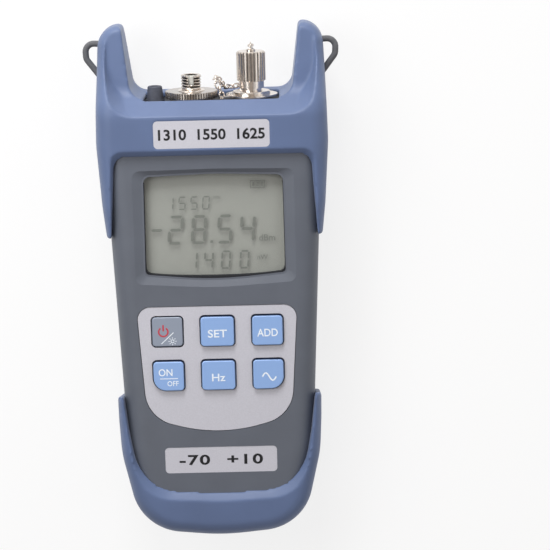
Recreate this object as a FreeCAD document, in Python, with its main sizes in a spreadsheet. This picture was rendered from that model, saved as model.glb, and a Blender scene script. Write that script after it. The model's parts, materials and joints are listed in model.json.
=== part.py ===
import FreeCAD, Part
import math
import os
import Sketcher
from FreeCAD import Matrix, Placement, Rotation, Vector

# Handheld optical power meter with a visible fault locator, lying on its back.
# +X is to the right, +Y towards the end with the optical ports, +Z up out of the keypad.
# The origin is under the middle of the meter, on the surface it lies on. Millimetres.

SIZES = [
    # moulded case, measured over the two shells
    ("case_back", 1.5, "height of the case's rear face"),
    ("case_front", 36.0, "height of the case's front face"),
    ("case_split", 18.0, "height of the joint between the two shells"),
    ("case_wall", 2.2, "wall of both shells"),
    ("case_top", 69.08, "Y of the case's port end"),
    ("case_bottom", -99.05, "Y of the case's lower end"),
    ("case_top_half", 42.5, "half width at the port end"),
    ("case_low_half", 37.35, "half width where the lower taper starts"),
    ("case_low_start", -53.12, "Y where the lower taper starts"),
    ("case_heel_half", 36.7, "half width where the heel starts"),
    ("case_heel_start", -67.12, "Y where the heel starts"),
    ("case_toe_half", 29.7, "half width of the lower end"),
    ("case_toe_rise", 3.2, "how far the corners of the lower end stand back"),
    ("toe_bow", 90.0, "radius of the bowed lower end"),
    ("toe_round", 18.0, "rounding of the lower corners"),
    ("heel_round", 50.0, "rounding where the heel starts"),
    ("waist_round", 60.0, "rounding where the lower taper starts"),
    ("case_top_round", 9.6, "rounding of the port end's corners"),
    ("case_front_round", 8.0, "rounding of the front edge"),
    ("case_back_round", 9.0, "rounding of the rear edge"),
    ("end_opening_side", 0.5, "how far the shells' end opening stays inside the deck window"),
    # soft bumpers
    ("bumper_front", 38.5, "height of both bumpers' front faces"),
    ("bumper_round", 7.0, "rounding of both bumpers' outer edges"),
    ("bumper_wall", 2.7, "boot's wall round the lower taper and the lower end"),
    ("cap_start", 20.68, "Y where the top bumper's side tails end"),
    ("cap_tail_half", 41.8, "half width at the tails' ends"),
    ("cap_shoulder_half", 43.1, "half width at the tails' roots"),
    ("cap_shoulder", 32.88, "Y of the tails' roots"),
    ("cap_half", 44.55, "largest half width of the top bumper"),
    ("cap_widest", 56.88, "Y of the largest width"),
    ("horn_root_half", 43.9, "half width at the horns' roots"),
    ("horn_root", 82.88, "Y of the horns' roots"),
    ("horn_tip_half", 43.2, "half width at the horns' tips"),
    ("horn_tip", 101.33, "Y of the horns' tips"),
    ("horn_tip_height", 24.5, "height of the horns' edge at the tips"),
    ("horn_knee", 86.0, "Y where the horns' edge stops falling"),
    ("horn_knee_height", 29.0, "height of the horns' edge there"),
    ("horn_knee_round", 40.0, "rounding of the horns' edge there"),
    ("horn_back", 78.0, "Y where the horns' rear starts to rise"),
    ("horn_back_rise", 7.0, "how far the horns' rear rises to the tips"),
    ("horn_back_round", 30.0, "rounding where the horns' rear starts to rise"),
    ("horn_tip_round", 7.0, "rounding of the horns' tips seen from the side"),
    ("horn_corner_round", 8.5, "rounding of the horns' outer corners"),
    ("horn_slope_round", 16.0, "rounding where the horns' slope starts"),
    ("horn_slope_start", 72.0, "Y where the horns' front face starts to fall"),
    ("deck_place", 73.88, "Y of the deck between the horns"),
    ("gap_half", 30.9, "half width of the gap between the horns, at the deck"),
    ("gap_tip_half", 34.1, "half width of the gap at the tips"),
    ("gap_tip_round", 2.2, "rounding of the horns' inner corners"),
    ("gap_round", 6.0, "rounding of the gap's corners"),
    ("scoop_place", 68.08, "Y of the scoop's front crease"),
    ("scoop_half", 41.4, "half width of the scoop at the front"),
    ("scoop_low_half", 39.6, "half width of the scoop at its floor"),
    ("scoop_floor", 20.0, "height of the scoop's side walls' lower edge"),
    ("scoop_reach", 8.0, "how far the scoop's front wall may lean"),
    ("scoop_round", 12.0, "rounding of the scoop's corners"),
    ("scoop_low_round", 17.0, "rounding of the scoop's corners at its floor"),
    ("cove_place", 76.0, "Y where the scoop's slope meets the horns' front faces"),
    ("cove_height", 27.2, "height of that place"),
    ("cove_round", 8.0, "rounding of that place"),
    ("horn_face", 23.6, "height of the horns' front faces at the tips"),
    ("window_edge", 52.38, "Y of the top bumper's edge across the case"),
    ("window_half", 37.6, "half width of that edge"),
    ("window_tail_half", 39.9, "half width between the tails' ends"),
    ("window_round", 4.5, "rounding of the edge's corners"),
    ("lip_wide", 2.7, "width of the bevel along the edge across the case"),
    ("lip_side", 1.4, "width of that bevel at the edge's corners"),
    ("lip_tail", 0.5, "width of that bevel at the tails' ends"),
    ("boot_edge", -82.7, "Y of the boot's edge at the middle"),
    ("boot_edge_half", 31.6, "half width of the boot's edge"),
    ("boot_edge_rise", 1.7, "how far the boot's edge curves up at its corners"),
    ("boot_edge_round", 19.0, "rounding of the boot's edge corners"),
    ("boot_side_half", 35.9, "half width of the boot's edge half way up its sides"),
    ("boot_side", -58.0, "Y of that place"),
    ("boot_tip", -42.0, "Y of the boot's side tips at the front"),
    ("boot_tip_lean", 9.0, "how much lower the side tips are at the rear"),
    ("boot_tip_half", 40.2, "half width at the side tips"),
    ("boot_tip_inner", 37.9, "half width between the side tips"),
    ("boot_lip_wide", 3.1, "width of the bevel along the boot's edge at the middle"),
    ("boot_lip_side", 0.9, "width of that bevel along the boot's sides"),
    ("boot_lip_round", 16.0, "rounding of that bevel's corners"),
    # deck window and end plate
    ("deck_window_half", "=( lamp_side + lamp_foot + lamp_radius + lamp_nut_gap + 2 * nut_radius"
     " + port_gap + 2 * washer_radius + washer_side ) / 2", "half width of the deck window"),
    ("deck_window_low", 9.0, "height of the deck window's rear edge"),
    ("deck_window_high", 30.5, "height of the deck window's front edge"),
    ("end_plate_thick", 2.6, "end plate's thickness"),
    ("end_plate_lap", 1.6, "how far the end plate reaches behind the deck"),
    # display
    ("display_half", 31.1, "half width of the display recess"),
    ("display_low", 2.7, "Y of the display recess's lower edge"),
    ("display_high", 47.1, "Y of the display recess's upper edge"),
    ("display_sink", 1.1, "depth of the recess's sloping frame"),
    ("display_collar", 3.6, "depth of the display opening below the front face"),
    ("display_bow_low", 1.9, "bow of the recess's lower edge"),
    ("display_bow_high", 0.5, "bow of the recess's upper edge"),
    ("display_round", 3.0, "rounding of the recess's corners"),
    ("display_ledge", 0.7, "flat ledge between the recess's slope and the opening"),
    ("glass_half", 26.8, "half width of the display opening"),
    ("glass_low", 6.28, "Y of the opening's lower corners"),
    ("glass_high", 44.6, "Y of the opening's upper corners"),
    ("glass_bow_low", 2.6, "bow of the opening's lower edge"),
    ("glass_bow_high", 0.9, "bow of the opening's upper edge"),
    ("glass_bow_round", 140.0, "radius of the bowed edges"),
    ("glass_flare", 0.4, "how much wider the opening is at its lower edge"),
    ("glass_low_round", 1.6, "rounding of the opening's lower corners"),
    ("glass_high_round", 2.6, "rounding of the opening's upper corners"),
    ("cover_thick", 1.0, "clear display window's thickness"),
    ("cover_lap", 1.4, "how far the clear window reaches behind the opening"),
    ("lcd_thick", 2.2, "liquid crystal glass thickness"),
    ("lcd_lap", 1.0, "how far the liquid crystal glass reaches behind the opening"),
    ("frame_wall", 1.2, "wall of the frame under the display"),
    ("zebra_wide", 1.6, "width of the rubber connector strips"),
    # keypad
    ("panel_thick", 1.0, "keypad panel's thickness"),
    ("panel_sink", 0.2, "how far the panel lies below the front face"),
    ("panel_gap", 0.25, "gap round the keypad panel"),
    ("panel_top", -6.6, "Y of the panel's upper edge"),
    ("panel_top_half", 31.2, "half width of the panel's upper edge"),
    ("panel_low", -51.4, "Y of the panel's lower corners"),
    ("panel_low_half", 28.4, "half width at the lower corners"),
    ("panel_bow", 8.0, "bow of the panel's lower edge"),
    ("panel_bow_round", 60.0, "radius of the panel's bowed edge"),
    ("panel_low_round", 14.0, "rounding of the panel's lower corners"),
    ("panel_top_round", 5.0, "rounding of the panel's upper corners"),
    ("key_column", 19.5, "distance between columns of keys"),
    ("key_upper_row", -16.5, "Y of the upper row of keys"),
    ("key_lower_row", -34.2, "Y of the lower row of keys"),
    ("key_width", 11.9, "width of an outer key"),
    ("key_middle_width", 13.0, "width of a middle key"),
    ("key_height", 11.8, "height of a key"),
    ("key_gap", 0.5, "gap round a key"),
    ("key_round", 1.4, "rounding of a key's corners"),
    ("key_corner_round", 5.0, "rounding of the outer corner of the lower outer keys"),
    ("key_edge_round", 0.5, "rounding of a key's upper edge"),
    ("key_rise", 1.3, "how far a key stands above the front face"),
    ("power_key_rise", 0.1, "how far the power key stands above the front face"),
    ("key_lip", 1.0, "width of the lip that holds a key in"),
    ("key_lip_thick", 1.4, "thickness of that lip"),
    ("key_foot", 2.0, "length of a key's foot below its lip"),
    ("key_travel", 0.6, "travel of a key"),
    ("key_slack", 0.1, "slack above the lip and under the foot"),
    ("switch_base", 6.0, "side of a key switch"),
    ("switch_case", 0.67, "part of a key switch's height that its case takes"),
    ("switch_button", 1.75, "radius of a key switch's button"),
    # badges and label
    ("badge_long", 44.2, "length of both badges"),
    ("badge_wide", 10.6, "width of both badges"),
    ("badge_thick", 0.8, "thickness of both badges"),
    ("badge_sink", 0.1, "how far a badge lies below its face"),
    ("badge_round", 1.6, "rounding of a badge's corners"),
    ("upper_badge", 61.28, "Y of the upper badge's middle"),
    ("lower_badge", -69.07, "Y of the lower badge's middle"),
    ("label_long", 46.0, "length of the rear label"),
    ("label_wide", 24.0, "width of the rear label"),
    ("label_thick", 0.3, "thickness of the rear label"),
    ("label_place", 18.88, "Y of the rear label's middle"),
    # boards
    ("board_back", 24.9, "height of the main board's rear side"),
    ("board_thick", 1.6, "main board's thickness"),
    ("board_half", 30.0, "main board's half width"),
    ("board_low", -64.12, "Y of the main board's lower end"),
    ("board_high", 53.88, "Y of the main board's upper end"),
    ("board_screw_x", 26.8, "distance of the board screws from the middle"),
    ("board_screw_inset", 2.7, "distance of the board screws from the board's ends"),
    ("board_screw", 1.0, "radius of a board screw"),
    ("board_screw_bite", 5.0, "depth of a board screw in its boss"),
    ("board_screw_head", 1.9, "radius of a board screw's head"),
    ("board_screw_head_thick", 1.2, "thickness of a board screw's head"),
    ("board_boss", 2.4, "radius of a board screw's boss"),
    ("processor_side", 10.0, "side of the processor"),
    ("processor_place", 21.88, "Y of the processor"),
    ("chip_long", 5.0, "length of a small chip"),
    ("chip_wide", 4.0, "width of a small chip"),
    ("chip_x", 14.0, "distance of the small chips from the middle"),
    ("amplifier_place", 41.88, "Y of the amplifier chip"),
    ("buzzer_place", 35.88, "Y of the buzzer"),
    ("chip_thick", 1.5, "thickness of the chips"),
    ("buzzer_radius", 6.0, "radius of the buzzer"),
    ("buzzer_thick", 3.5, "thickness of the buzzer"),
    # case screws
    ("screw_x", 27.0, "distance of the case screws from the middle"),
    ("screw_upper", 58.88, "Y of the upper case screws"),
    ("screw_lower", -76.12, "Y of the lower case screws"),
    ("screw_radius", 1.25, "radius of a case screw"),
    ("screw_head", 2.6, "radius of a case screw's head"),
    ("screw_head_thick", 1.8, "thickness of a case screw's head"),
    ("screw_sink", 2.4, "depth of a case screw's head under the rear face"),
    ("boss_radius", 3.9, "radius of a screw boss"),
    ("screw_bite", 10.0, "depth of a case screw in the front shell"),
    ("screw_slack", 0.2, "clearance of a case screw in the rear shell"),
    ("slack_end", 0.5, "clearance past a screw's tip"),
    # batteries
    ("cell_radius", 7.1, "radius of an AA cell"),
    ("cell_length", 49.2, "length of an AA cell without its button"),
    ("cell_button", 2.7, "radius of a cell's button"),
    ("cell_button_tall", 1.2, "height of a cell's button"),
    ("cell_pitch", 15.4, "distance between the cells"),
    ("cell_low", -67.12, "Y of the cells' flat ends"),
    ("cell_height", 11.6, "height of the cells' axes"),
    ("bay_gap", 0.3, "gap round the cells"),
    ("bay_wall", 1.4, "wall of the battery bay"),
    ("contact_room", 2.2, "room for the contacts at each end of the bay"),
    ("contact_thick", 0.4, "thickness of the contacts"),
    ("contact_wide", 8.0, "width of the contacts"),
    ("contact_foot", 2.6, "half the distance between the roots of a contact's spring"),
    ("door_notch", 6.0, "radius of the battery door's finger notch"),
    ("door_notch_lift", 1.0, "how far below the door the notch starts"),
    ("door_thick", 2.0, "battery door's thickness"),
    ("door_gap", 0.2, "gap round the battery door"),
    ("door_pin", 0.6, "radius of the battery door's pins"),
    ("door_pin_long", 1.6, "length of the battery door's pins"),
    ("fit", 0.05, "clearance of a running fit"),
    # optical ports
    ("port_height", 20.0, "height of the port axes"),
    ("lamp_side", 0.4, "gap between the deck window's edge and the lamp bezel's foot"),
    ("lamp_nut_gap", 0.6, "gap between the lamp bezel and the adapter nut"),
    ("port_gap", 3.1, "gap between the adapter nut and the chain washer"),
    ("washer_side", 0.5, "gap between the chain washer and the deck window's edge"),
    ("lamp_x", "=lamp_foot + lamp_side - deck_window_half", "X of the lamp"),
    ("meter_x", "=lamp_x + lamp_radius + lamp_nut_gap + nut_radius", "X of the power meter port"),
    ("source_x", "=deck_window_half - washer_side - washer_radius", "X of the fault locator port"),
    ("thread_radius", 3.95, "outer radius of the ports' M8 x 0.75 thread"),
    ("thread_length", 5.8, "length of the power meter port's thread"),
    ("ferrule_bore", 1.25, "radius of the ferrule bore"),
    ("mount_radius", 8.4, "radius of the detector mount's thread"),
    ("mount_top", 73.78, "Y of the detector mount's face"),
    ("mount_low", 58.88, "Y of the detector mount's inner end"),
    ("mount_flange", 9.6, "radius of the detector mount's flange"),
    ("mount_flange_thick", 1.5, "thickness of that flange"),
    ("nut_radius", 10.2, "radius of the knurled adapter nut"),
    ("nut_low", 72.98, "Y of the adapter nut's inner face"),
    ("nut_thick", 2.7, "thickness of the adapter nut"),
    ("nut_bevel", 0.3, "bevel of the ports' turned edges"),
    ("nut_web", 0.8, "thickness of the adapter nut's web"),
    ("nut_flutes", 60, "number of the adapter nut's flutes"),
    ("flute_radius", 0.3, "radius of the adapter nut's flutes"),
    ("shoulder_radius", 5.25, "radius of the power meter port's shoulder"),
    ("shoulder_thick", 0.4, "height of that shoulder above the nut"),
    ("barrel_flange", 7.8, "radius of the flange that the nut holds"),
    ("barrel_bore", 2.7, "radius of the power meter port's bore"),
    ("sleeve_radius", 1.9, "outer radius of the ferrule sleeve"),
    ("sleeve_sink", 0.6, "how far the sleeve's ends stay inside the barrel"),
    ("sleeve_foot", 0.8, "thickness of the sleeve's foot"),
    ("slot_wide", 2.15, "width of the key slot"),
    ("slot_deep", 2.6, "depth of the key slot"),
    ("washer_radius", 10.0, "radius of the chain washer"),
    ("washer_thick", 0.7, "thickness of the chain washer"),
    ("washer_low", 73.28, "Y of the chain washer's inner face"),
    ("lug_reach", 12.3, "distance of the chain lug's hole from the port axis"),
    ("lug_turn", 30.0, "how far the chain lug is turned towards the front, in degrees"),
    ("lug_radius", 1.25, "radius of the chain lug"),
    ("lug_hole", 0.8, "radius of the hole in the chain lug"),
    ("source_nut", 7.2, "radius of the fault locator port's nut"),
    ("source_nut_thick", 1.2, "thickness of that nut"),
    ("source_body", 5.5, "radius of the fault locator port's body"),
    ("source_low", 56.88, "Y of the fault locator port's inner end"),
    ("source_neck", 4.6, "length of the fault locator port's thread"),
    ("cap_collar", 4.9, "radius of the dust cap's collar"),
    ("cap_collar_tall", 2.8, "height of the dust cap's collar"),
    ("cap_grip", 5.6, "radius of the dust cap's grip"),
    ("cap_tall", 14.2, "height of the dust cap"),
    ("cap_bevel", 0.6, "bevel of the dust cap's top"),
    ("cap_flutes", 24, "number of the dust cap's flutes"),
    ("cap_flute_radius", 0.45, "radius of the dust cap's flutes"),
    ("cap_lift_gap", 1.1, "gap under the dust cap"),
    ("swivel_stem", 1.1, "radius of the swivel's stem"),
    ("swivel_head", 1.8, "radius of the swivel's head"),
    ("swivel_head_thick", 0.9, "thickness of the swivel's head"),
    ("swivel_depth", 2.5, "depth of the swivel's head under the dust cap's top"),
    ("swivel_collar", 0.6, "thickness of the swivel's collar"),
    ("eye_radius", 1.2, "radius of the swivel's eye"),
    ("wire_radius", 0.3, "radius of the chain's wire"),
    ("link_radius", 0.95, "radius of a chain link's ends"),
    ("link_straight", 0.9, "length of a chain link's straight sides"),
    ("chain_behind", 10.6, "how far behind the port axis the chain runs"),
    ("lamp_radius", 3.3, "radius of the lamp bezel"),
    ("lamp_foot", 3.7, "radius of the lamp bezel's foot"),
    ("lamp_foot_tall", 0.9, "height of the lamp bezel's foot"),
    ("lamp_taper", 0.5, "how much the lamp bezel narrows"),
    ("lamp_tall", 6.0, "height of the lamp bezel"),
    ("led_radius", 1.5, "radius of the lamp"),
    ("led_tall", 8.2, "length of the lamp"),
    ("led_bevel", 0.4, "bevel of the lamp's end"),
    ("detector_radius", 2.7, "radius of the photodiode"),
    ("detector_long", 3.6, "length of the photodiode"),
    ("laser_radius", 3.0, "radius of the laser module"),
    ("laser_long", 12.0, "length of the laser module"),
    # strap loops
    ("loop_wire", 1.2, "radius of the strap loops' bar"),
    ("loop_height", 18.0, "height of the strap loops"),
    ("loop_out", 5.2, "how far the loops stand out beside the horns' tips"),
    ("loop_high", 94.48, "Y of the loops' upper bar"),
    ("loop_low", 78.6, "Y where the loops' lower end enters the horns"),
    ("loop_round", 3.2, "rounding of the loops' corners"),
    ("loop_root", 2.5, "how far the loops' ends are moulded into the horns"),
    ("loop_drop", 0.3, "how far the loops' upper bar leans"),
    ("loop_side", 6.0, "length of the loops' outer side"),
]

ALIASES = {alias for alias, _, _ in SIZES}
THROUGH = 200.0  # longer than the meter, for cuts that go right through
NEAR = 1e-4  # two lengths closer than this are the same
OVERCUT = 0.5  # how far a cut starts outside the face it enters
ALONG_Y = Rotation(Vector(1, 0, 0), -90)
HALF_TURN = Rotation(Vector(0, 0, 1), 180)
QUARTER = 90.0

doc = FreeCAD.newDocument("optical_power_meter")
sheet = doc.addObject("Spreadsheet::Sheet", "Sizes")
for row, (alias, value, note) in enumerate(SIZES, start=1):
    sheet.set(f"A{row}", note)
    sheet.set(f"B{row}", str(value))
    sheet.setAlias(f"B{row}", alias)
doc.recompute()


class Values:
    """The sheet's cells by name, for the shapes that code has to work out."""

    def __getattr__(self, alias):
        return float(sheet.get(alias))


size = Values()
parts = {}


# ---- helpers -----------------------------------------------------------------

def keep(name, feature):
    """Names a finished sub-part; its label names its file."""
    feature.Label = name
    parts[name] = feature
    return feature


def cells(expression):
    """Puts the sheet's name before each alias in an expression."""
    spaced = expression.replace("(", " ( ").replace(")", " ) ")
    return " ".join(f"Sizes.{word}" if word in ALIASES else word for word in spaced.split())


def number(expression):
    return float(sheet.evalExpression(cells(expression)))


def bind(feature, **expressions):
    """Ties properties to the sheet; a double underscore stands for a dot."""
    for path, expression in expressions.items():
        feature.setExpression(path.replace("__", "."), cells(expression))


def place(feature, x, y, z):
    bind(feature, Placement__Base__x=x, Placement__Base__y=y, Placement__Base__z=z)
    return feature


def block(name, wide, deep, tall, x, y, z):
    """A box centred on x and y whose lower face lies at z."""
    box = doc.addObject("Part::Box", name)
    bind(box, Length=wide, Width=deep, Height=tall)
    return place(box, f"( {x} ) - ( {wide} ) / 2", f"( {y} ) - ( {deep} ) / 2", z)


def rod(name, radius, length, x, y, z):
    """A cylinder along +Y from the point x, y, z."""
    bar = doc.addObject("Part::Cylinder", name)
    bar.Placement = Placement(Vector(), ALONG_Y)
    bind(bar, Radius=radius, Height=length)
    return place(bar, x, y, z)


def post(name, radius, tall, x, y, z):
    """A cylinder along +Z from the point x, y, z."""
    bar = doc.addObject("Part::Cylinder", name)
    bind(bar, Radius=radius, Height=tall)
    return place(bar, x, y, z)


def fuse(name, shapes):
    feature = doc.addObject("Part::MultiFuse", name)
    feature.Shapes = shapes
    return feature


def group(name, shapes):
    """Separate solids that share one node."""
    feature = doc.addObject("Part::Compound", name)
    feature.Links = shapes
    return feature


def cut(name, base, *tools):
    """The base less its tools."""
    feature = doc.addObject("Part::Cut", name)
    feature.Base = base
    feature.Tool = tools[0] if len(tools) == 1 else fuse(name + "_tools", list(tools))
    return feature


def formed(name, shape):
    """A shape that code works out from the sheet."""
    feature = doc.addObject("Part::Feature", name)
    feature.Shape = shape
    return feature


def sketched(body, points):
    """A closed sketch on the body's XY plane; each corner is a pair of expressions."""
    sketch = body.newObject("Sketcher::SketchObject", body.Name + "_sketch")
    plane = next(item for item in body.Origin.OriginFeatures if item.Role == "XY_Plane")
    sketch.AttachmentSupport = [(plane, "")]
    sketch.MapMode = "FlatFace"
    corners = [Vector(number(across), number(along), 0) for across, along in points]
    following = corners[1:] + corners[:1]
    for corner, after in zip(corners, following):
        sketch.addGeometry(Part.LineSegment(corner, after), False)
    for index in range(len(corners)):
        after = (index + 1) % len(corners)
        sketch.addConstraint(Sketcher.Constraint("Coincident", index, 2, after, 1))
    for index, (corner, pair) in enumerate(zip(corners, points)):
        for kind, value, expression in zip(("DistanceX", "DistanceY"), corner[:2], pair):
            which = sketch.addConstraint(Sketcher.Constraint(kind, -1, 1, index, 1, value))
            sketch.setExpression(f"Constraints[{which}]", cells(expression))
    return sketch


def turned(name, profile, x, y, z, rotation=None):
    """A body turned about its own Y axis; the profile's points are (radius, station)."""
    body = doc.addObject("PartDesign::Body", name)
    sketch = sketched(body, profile)
    turn = body.newObject("PartDesign::Revolution", name + "_turning")
    turn.Profile = sketch
    turn.ReferenceAxis = (sketch, ["V_Axis"])
    turn.Angle = 360
    body.Tip = turn
    if rotation:
        body.Placement = Placement(Vector(), rotation)
    return place(body, x, y, z)


def padded(name, points, tall, x, y, z):
    """A body padded up from a sketch."""
    body = doc.addObject("PartDesign::Body", name)
    pad = body.newObject("PartDesign::Pad", name + "_pad")
    pad.Profile = sketched(body, points)
    bind(pad, Length=tall)
    body.Tip = pad
    return place(body, x, y, z)


def rectangle(wide, deep):
    """The corners of a rectangle round the origin, as expressions."""
    right, back = f"( {wide} ) / 2", f"( {deep} ) / 2"
    return [(f"-1 * {right}", f"-1 * {back}"), (right, f"-1 * {back}"),
            (right, back), (f"-1 * {right}", back)]


def rounded(body, name, radius, wanted):
    """Fillets the edges of a body's tip for which wanted(edge) is true."""
    doc.recompute()
    base = body.Tip
    names = [f"Edge{index}" for index, edge in enumerate(base.Shape.Edges, start=1)
             if wanted(edge)]
    fillet = body.newObject("PartDesign::Fillet", name)
    fillet.Base = (base, names)
    bind(fillet, Radius=radius)
    body.Tip = fillet
    return body


def upright(edge):
    box = edge.BoundBox
    return box.XLength < NEAR and box.YLength < NEAR


def level(edge, z):
    box = edge.BoundBox
    return box.ZLength < NEAR and abs(box.ZMin - z) < NEAR


def fluted(body, name, count, radius, at_radius, low, length):
    """Grooves along a turned body's surface, spread evenly about its axis."""
    doc.recompute()
    sketch = body.newObject("Sketcher::SketchObject", name + "_sketch")
    plane = next(item for item in body.Origin.OriginFeatures if item.Role == "XZ_Plane")
    sketch.AttachmentSupport = [(plane, "")]
    sketch.MapMode = "FlatFace"
    bind(sketch, AttachmentOffset__Base__z=f"-1 * ( {low} )")
    sketch.addGeometry(Part.Circle(Vector(number(at_radius), 0, 0), Vector(0, 0, 1),
                                   number(radius)), False)
    centre = sketch.addConstraint(Sketcher.Constraint("DistanceX", -1, 1, 0, 3, number(at_radius)))
    sketch.addConstraint(Sketcher.Constraint("PointOnObject", 0, 3, -1))
    wire = sketch.addConstraint(Sketcher.Constraint("Radius", 0, number(radius)))
    sketch.setExpression(f"Constraints[{centre}]", cells(at_radius))
    sketch.setExpression(f"Constraints[{wire}]", cells(radius))
    groove = body.newObject("PartDesign::Pocket", name + "_groove")
    groove.Profile = sketch
    bind(groove, Length=length)
    body.Tip = groove
    doc.recompute()
    pattern = body.newObject("PartDesign::PolarPattern", name + "_flutes")
    pattern.Originals = [groove]
    axis = next(item for item in body.Origin.OriginFeatures if item.Role == "Y_Axis")
    pattern.Axis = (axis, [""])
    pattern.Angle = 360
    bind(pattern, Occurrences=count)
    body.Tip = pattern
    return body


def outline(corners, z=0.0):
    """A closed wire through (x, y, radius) corners, each rounded by its own radius."""
    points = [Vector(x, y, z) for x, y, _ in corners]
    spans = []
    for index, (_, _, radius) in enumerate(corners):
        point = points[index]
        before = (points[index - 1] - point).normalize()
        after = (points[(index + 1) % len(points)] - point).normalize()
        half = before.getAngle(after) / 2
        reach = radius / math.tan(half)
        middle = point + (before + after).normalize() * (radius / math.sin(half) - radius)
        spans.append((point + before * reach, middle, point + after * reach, radius))
    edges = []
    for index, (start, middle, end, radius) in enumerate(spans):
        if radius:
            edges.append(Part.Arc(start, middle, end).toShape())
        following = spans[(index + 1) % len(spans)][0]
        if (following - end).Length > NEAR:
            edges.append(Part.makeLine(end, following))
    return Part.Wire(edges)


def both(half):
    """Adds the mirrored left half to the corners of a right half."""
    return half + [(-x, y, radius) for x, y, radius in reversed(half) if x]


def prism(corners, low, high):
    return Part.Face(outline(corners, low)).extrude(Vector(0, 0, high - low))


def side_prism(corners):
    """A prism right across the meter from corners given as (y, z, radius)."""
    turn_up = Matrix(0, 0, 1, 0, 1, 0, 0, 0, 0, 1, 0, 0, 0, 0, 0, 1)
    face = Part.Face(outline(corners).transformGeometry(turn_up))
    solid = face.extrude(Vector(THROUGH, 0, 0))
    solid.translate(Vector(-THROUGH / 2, 0, 0))
    return solid


def bar(radius, start, end):
    """A cylinder between two points."""
    start = Vector(*start)
    run = Vector(*end) - start
    return Part.makeCylinder(radius, run.Length, start, run)


def rib(x_low, x_high, y_low, y_high, z_low, z_high):
    return Part.makeBox(x_high - x_low, y_high - y_low, z_high - z_low, Vector(x_low, y_low, z_low))


# ---- shared outlines ---------------------------------------------------------

def case_corners(inset=0.0):
    toe = size.case_bottom + size.case_toe_rise + inset
    return both([
        (0, size.case_bottom + inset, size.toe_bow),
        (size.case_toe_half - inset, toe, size.toe_round - inset),
        (size.case_heel_half - inset, size.case_heel_start, size.heel_round),
        (size.case_low_half - inset, size.case_low_start, size.waist_round),
        (size.case_top_half - inset, size.case_top - inset, size.case_top_round - inset),
    ])


def case_block(inset=0.0):
    """The case's outside, or its inside when inset by the wall."""
    low, high = size.case_back + inset, size.case_front - inset
    solid = prism(case_corners(inset), low, high)
    solid = solid.makeFillet(size.case_front_round - inset, [e for e in solid.Edges if level(e, high)])
    return solid.makeFillet(size.case_back_round - inset, [e for e in solid.Edges if level(e, low)])


def boot_edge_corners(middle=0.0, side=0.0, radius=None):
    """The boot's front edge, widened by its bevel at the middle and along the sides."""
    return both([
        (0, size.boot_edge - middle, size.toe_bow),
        (size.boot_edge_half + side, size.boot_edge + size.boot_edge_rise - middle,
         radius or size.boot_edge_round),
        (size.boot_side_half + side, size.boot_side, size.heel_round),
        (size.boot_tip_inner + side, size.boot_tip + OVERCUT, 0)])


def boot_corners():
    toe = size.case_bottom + size.case_toe_rise - size.bumper_wall
    return both([
        (0, size.case_bottom - size.bumper_wall, size.toe_bow),
        (size.case_toe_half + size.bumper_wall, toe, size.toe_round + size.bumper_wall),
        (size.case_heel_half + size.bumper_wall, size.case_heel_start, size.heel_round),
        (size.case_low_half + size.bumper_wall, size.case_low_start, size.heel_round),
        (size.boot_tip_half, size.boot_tip, 0),
    ])


def cap_corners():
    return both([
        (size.cap_tail_half, size.cap_start, 0),
        (size.cap_shoulder_half, size.cap_shoulder, size.heel_round),
        (size.cap_half, size.cap_widest, size.heel_round),
        (size.horn_root_half, size.horn_root, size.heel_round),
        (size.horn_tip_half, size.horn_tip, size.horn_corner_round),
    ])


def bowed_corners(low_half, high_half, low, high, low_round, high_round, low_bow, high_bow):
    """A four-sided outline whose upper and lower edges are bowed."""
    right = [(0, low - low_bow, size.glass_bow_round), (low_half, low, low_round),
             (high_half, high, high_round)]
    corners = both(right)
    top = len(right)
    return corners[:top] + [(0, high + high_bow, size.glass_bow_round)] + corners[top:]


def glass_corners(grow=0.0):
    """The display opening, widened all round."""
    return bowed_corners(
        size.glass_half + size.glass_flare + grow, size.glass_half + grow,
        size.glass_low - grow, size.glass_high + grow,
        size.glass_low_round + grow, size.glass_high_round + grow,
        size.glass_bow_low, size.glass_bow_high)


def display_recess():
    """The sunk frame that slopes from the front face down to the display opening."""
    low = outline(glass_corners(size.display_ledge), size.case_front - size.display_sink)
    rim = outline(bowed_corners(
        size.display_half, size.display_half, size.display_low, size.display_high,
        size.display_round, size.display_round, size.display_bow_low, size.display_bow_high),
        size.case_front)
    funnel = Part.makeLoft([low, rim], True)
    return funnel.fuse(Part.Face(rim).extrude(Vector(0, 0, OVERCUT)))


def panel_corners(grow=0.0):
    """The keypad panel's outline, widened all round."""
    return both([
        (0, size.panel_low - size.panel_bow - grow, size.panel_bow_round),
        (size.panel_low_half + grow, size.panel_low - grow, size.panel_low_round + grow),
        (size.panel_top_half + grow, size.panel_top + grow, size.panel_top_round + grow),
    ])


def key_corners(column, row, grow=0.0):
    """A key's outline; the lower outer keys have one large corner."""
    wide = (size.key_width if column else size.key_middle_width) / 2 + grow
    tall = size.key_height / 2 + grow
    x = column * size.key_column
    y = size.key_lower_row if row else size.key_upper_row
    corners = []
    for side, end in ((-1, -1), (1, -1), (1, 1), (-1, 1)):
        large = row and column == side and end < 0
        radius = size.key_corner_round if large else size.key_round
        corners.append((x + side * wide, y + end * tall, radius + grow))
    return corners


def badge_block(y, face):
    """The space of a badge whose recess lies in a face at the given height."""
    low = face - size.badge_sink - size.badge_thick
    half, tall, radius = size.badge_long / 2, size.badge_wide / 2, size.badge_round
    return prism([(-half, y - tall, radius), (half, y - tall, radius),
                  (half, y + tall, radius), (-half, y + tall, radius)], low, face + OVERCUT)


# ---- strap loops -------------------------------------------------------------

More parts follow.
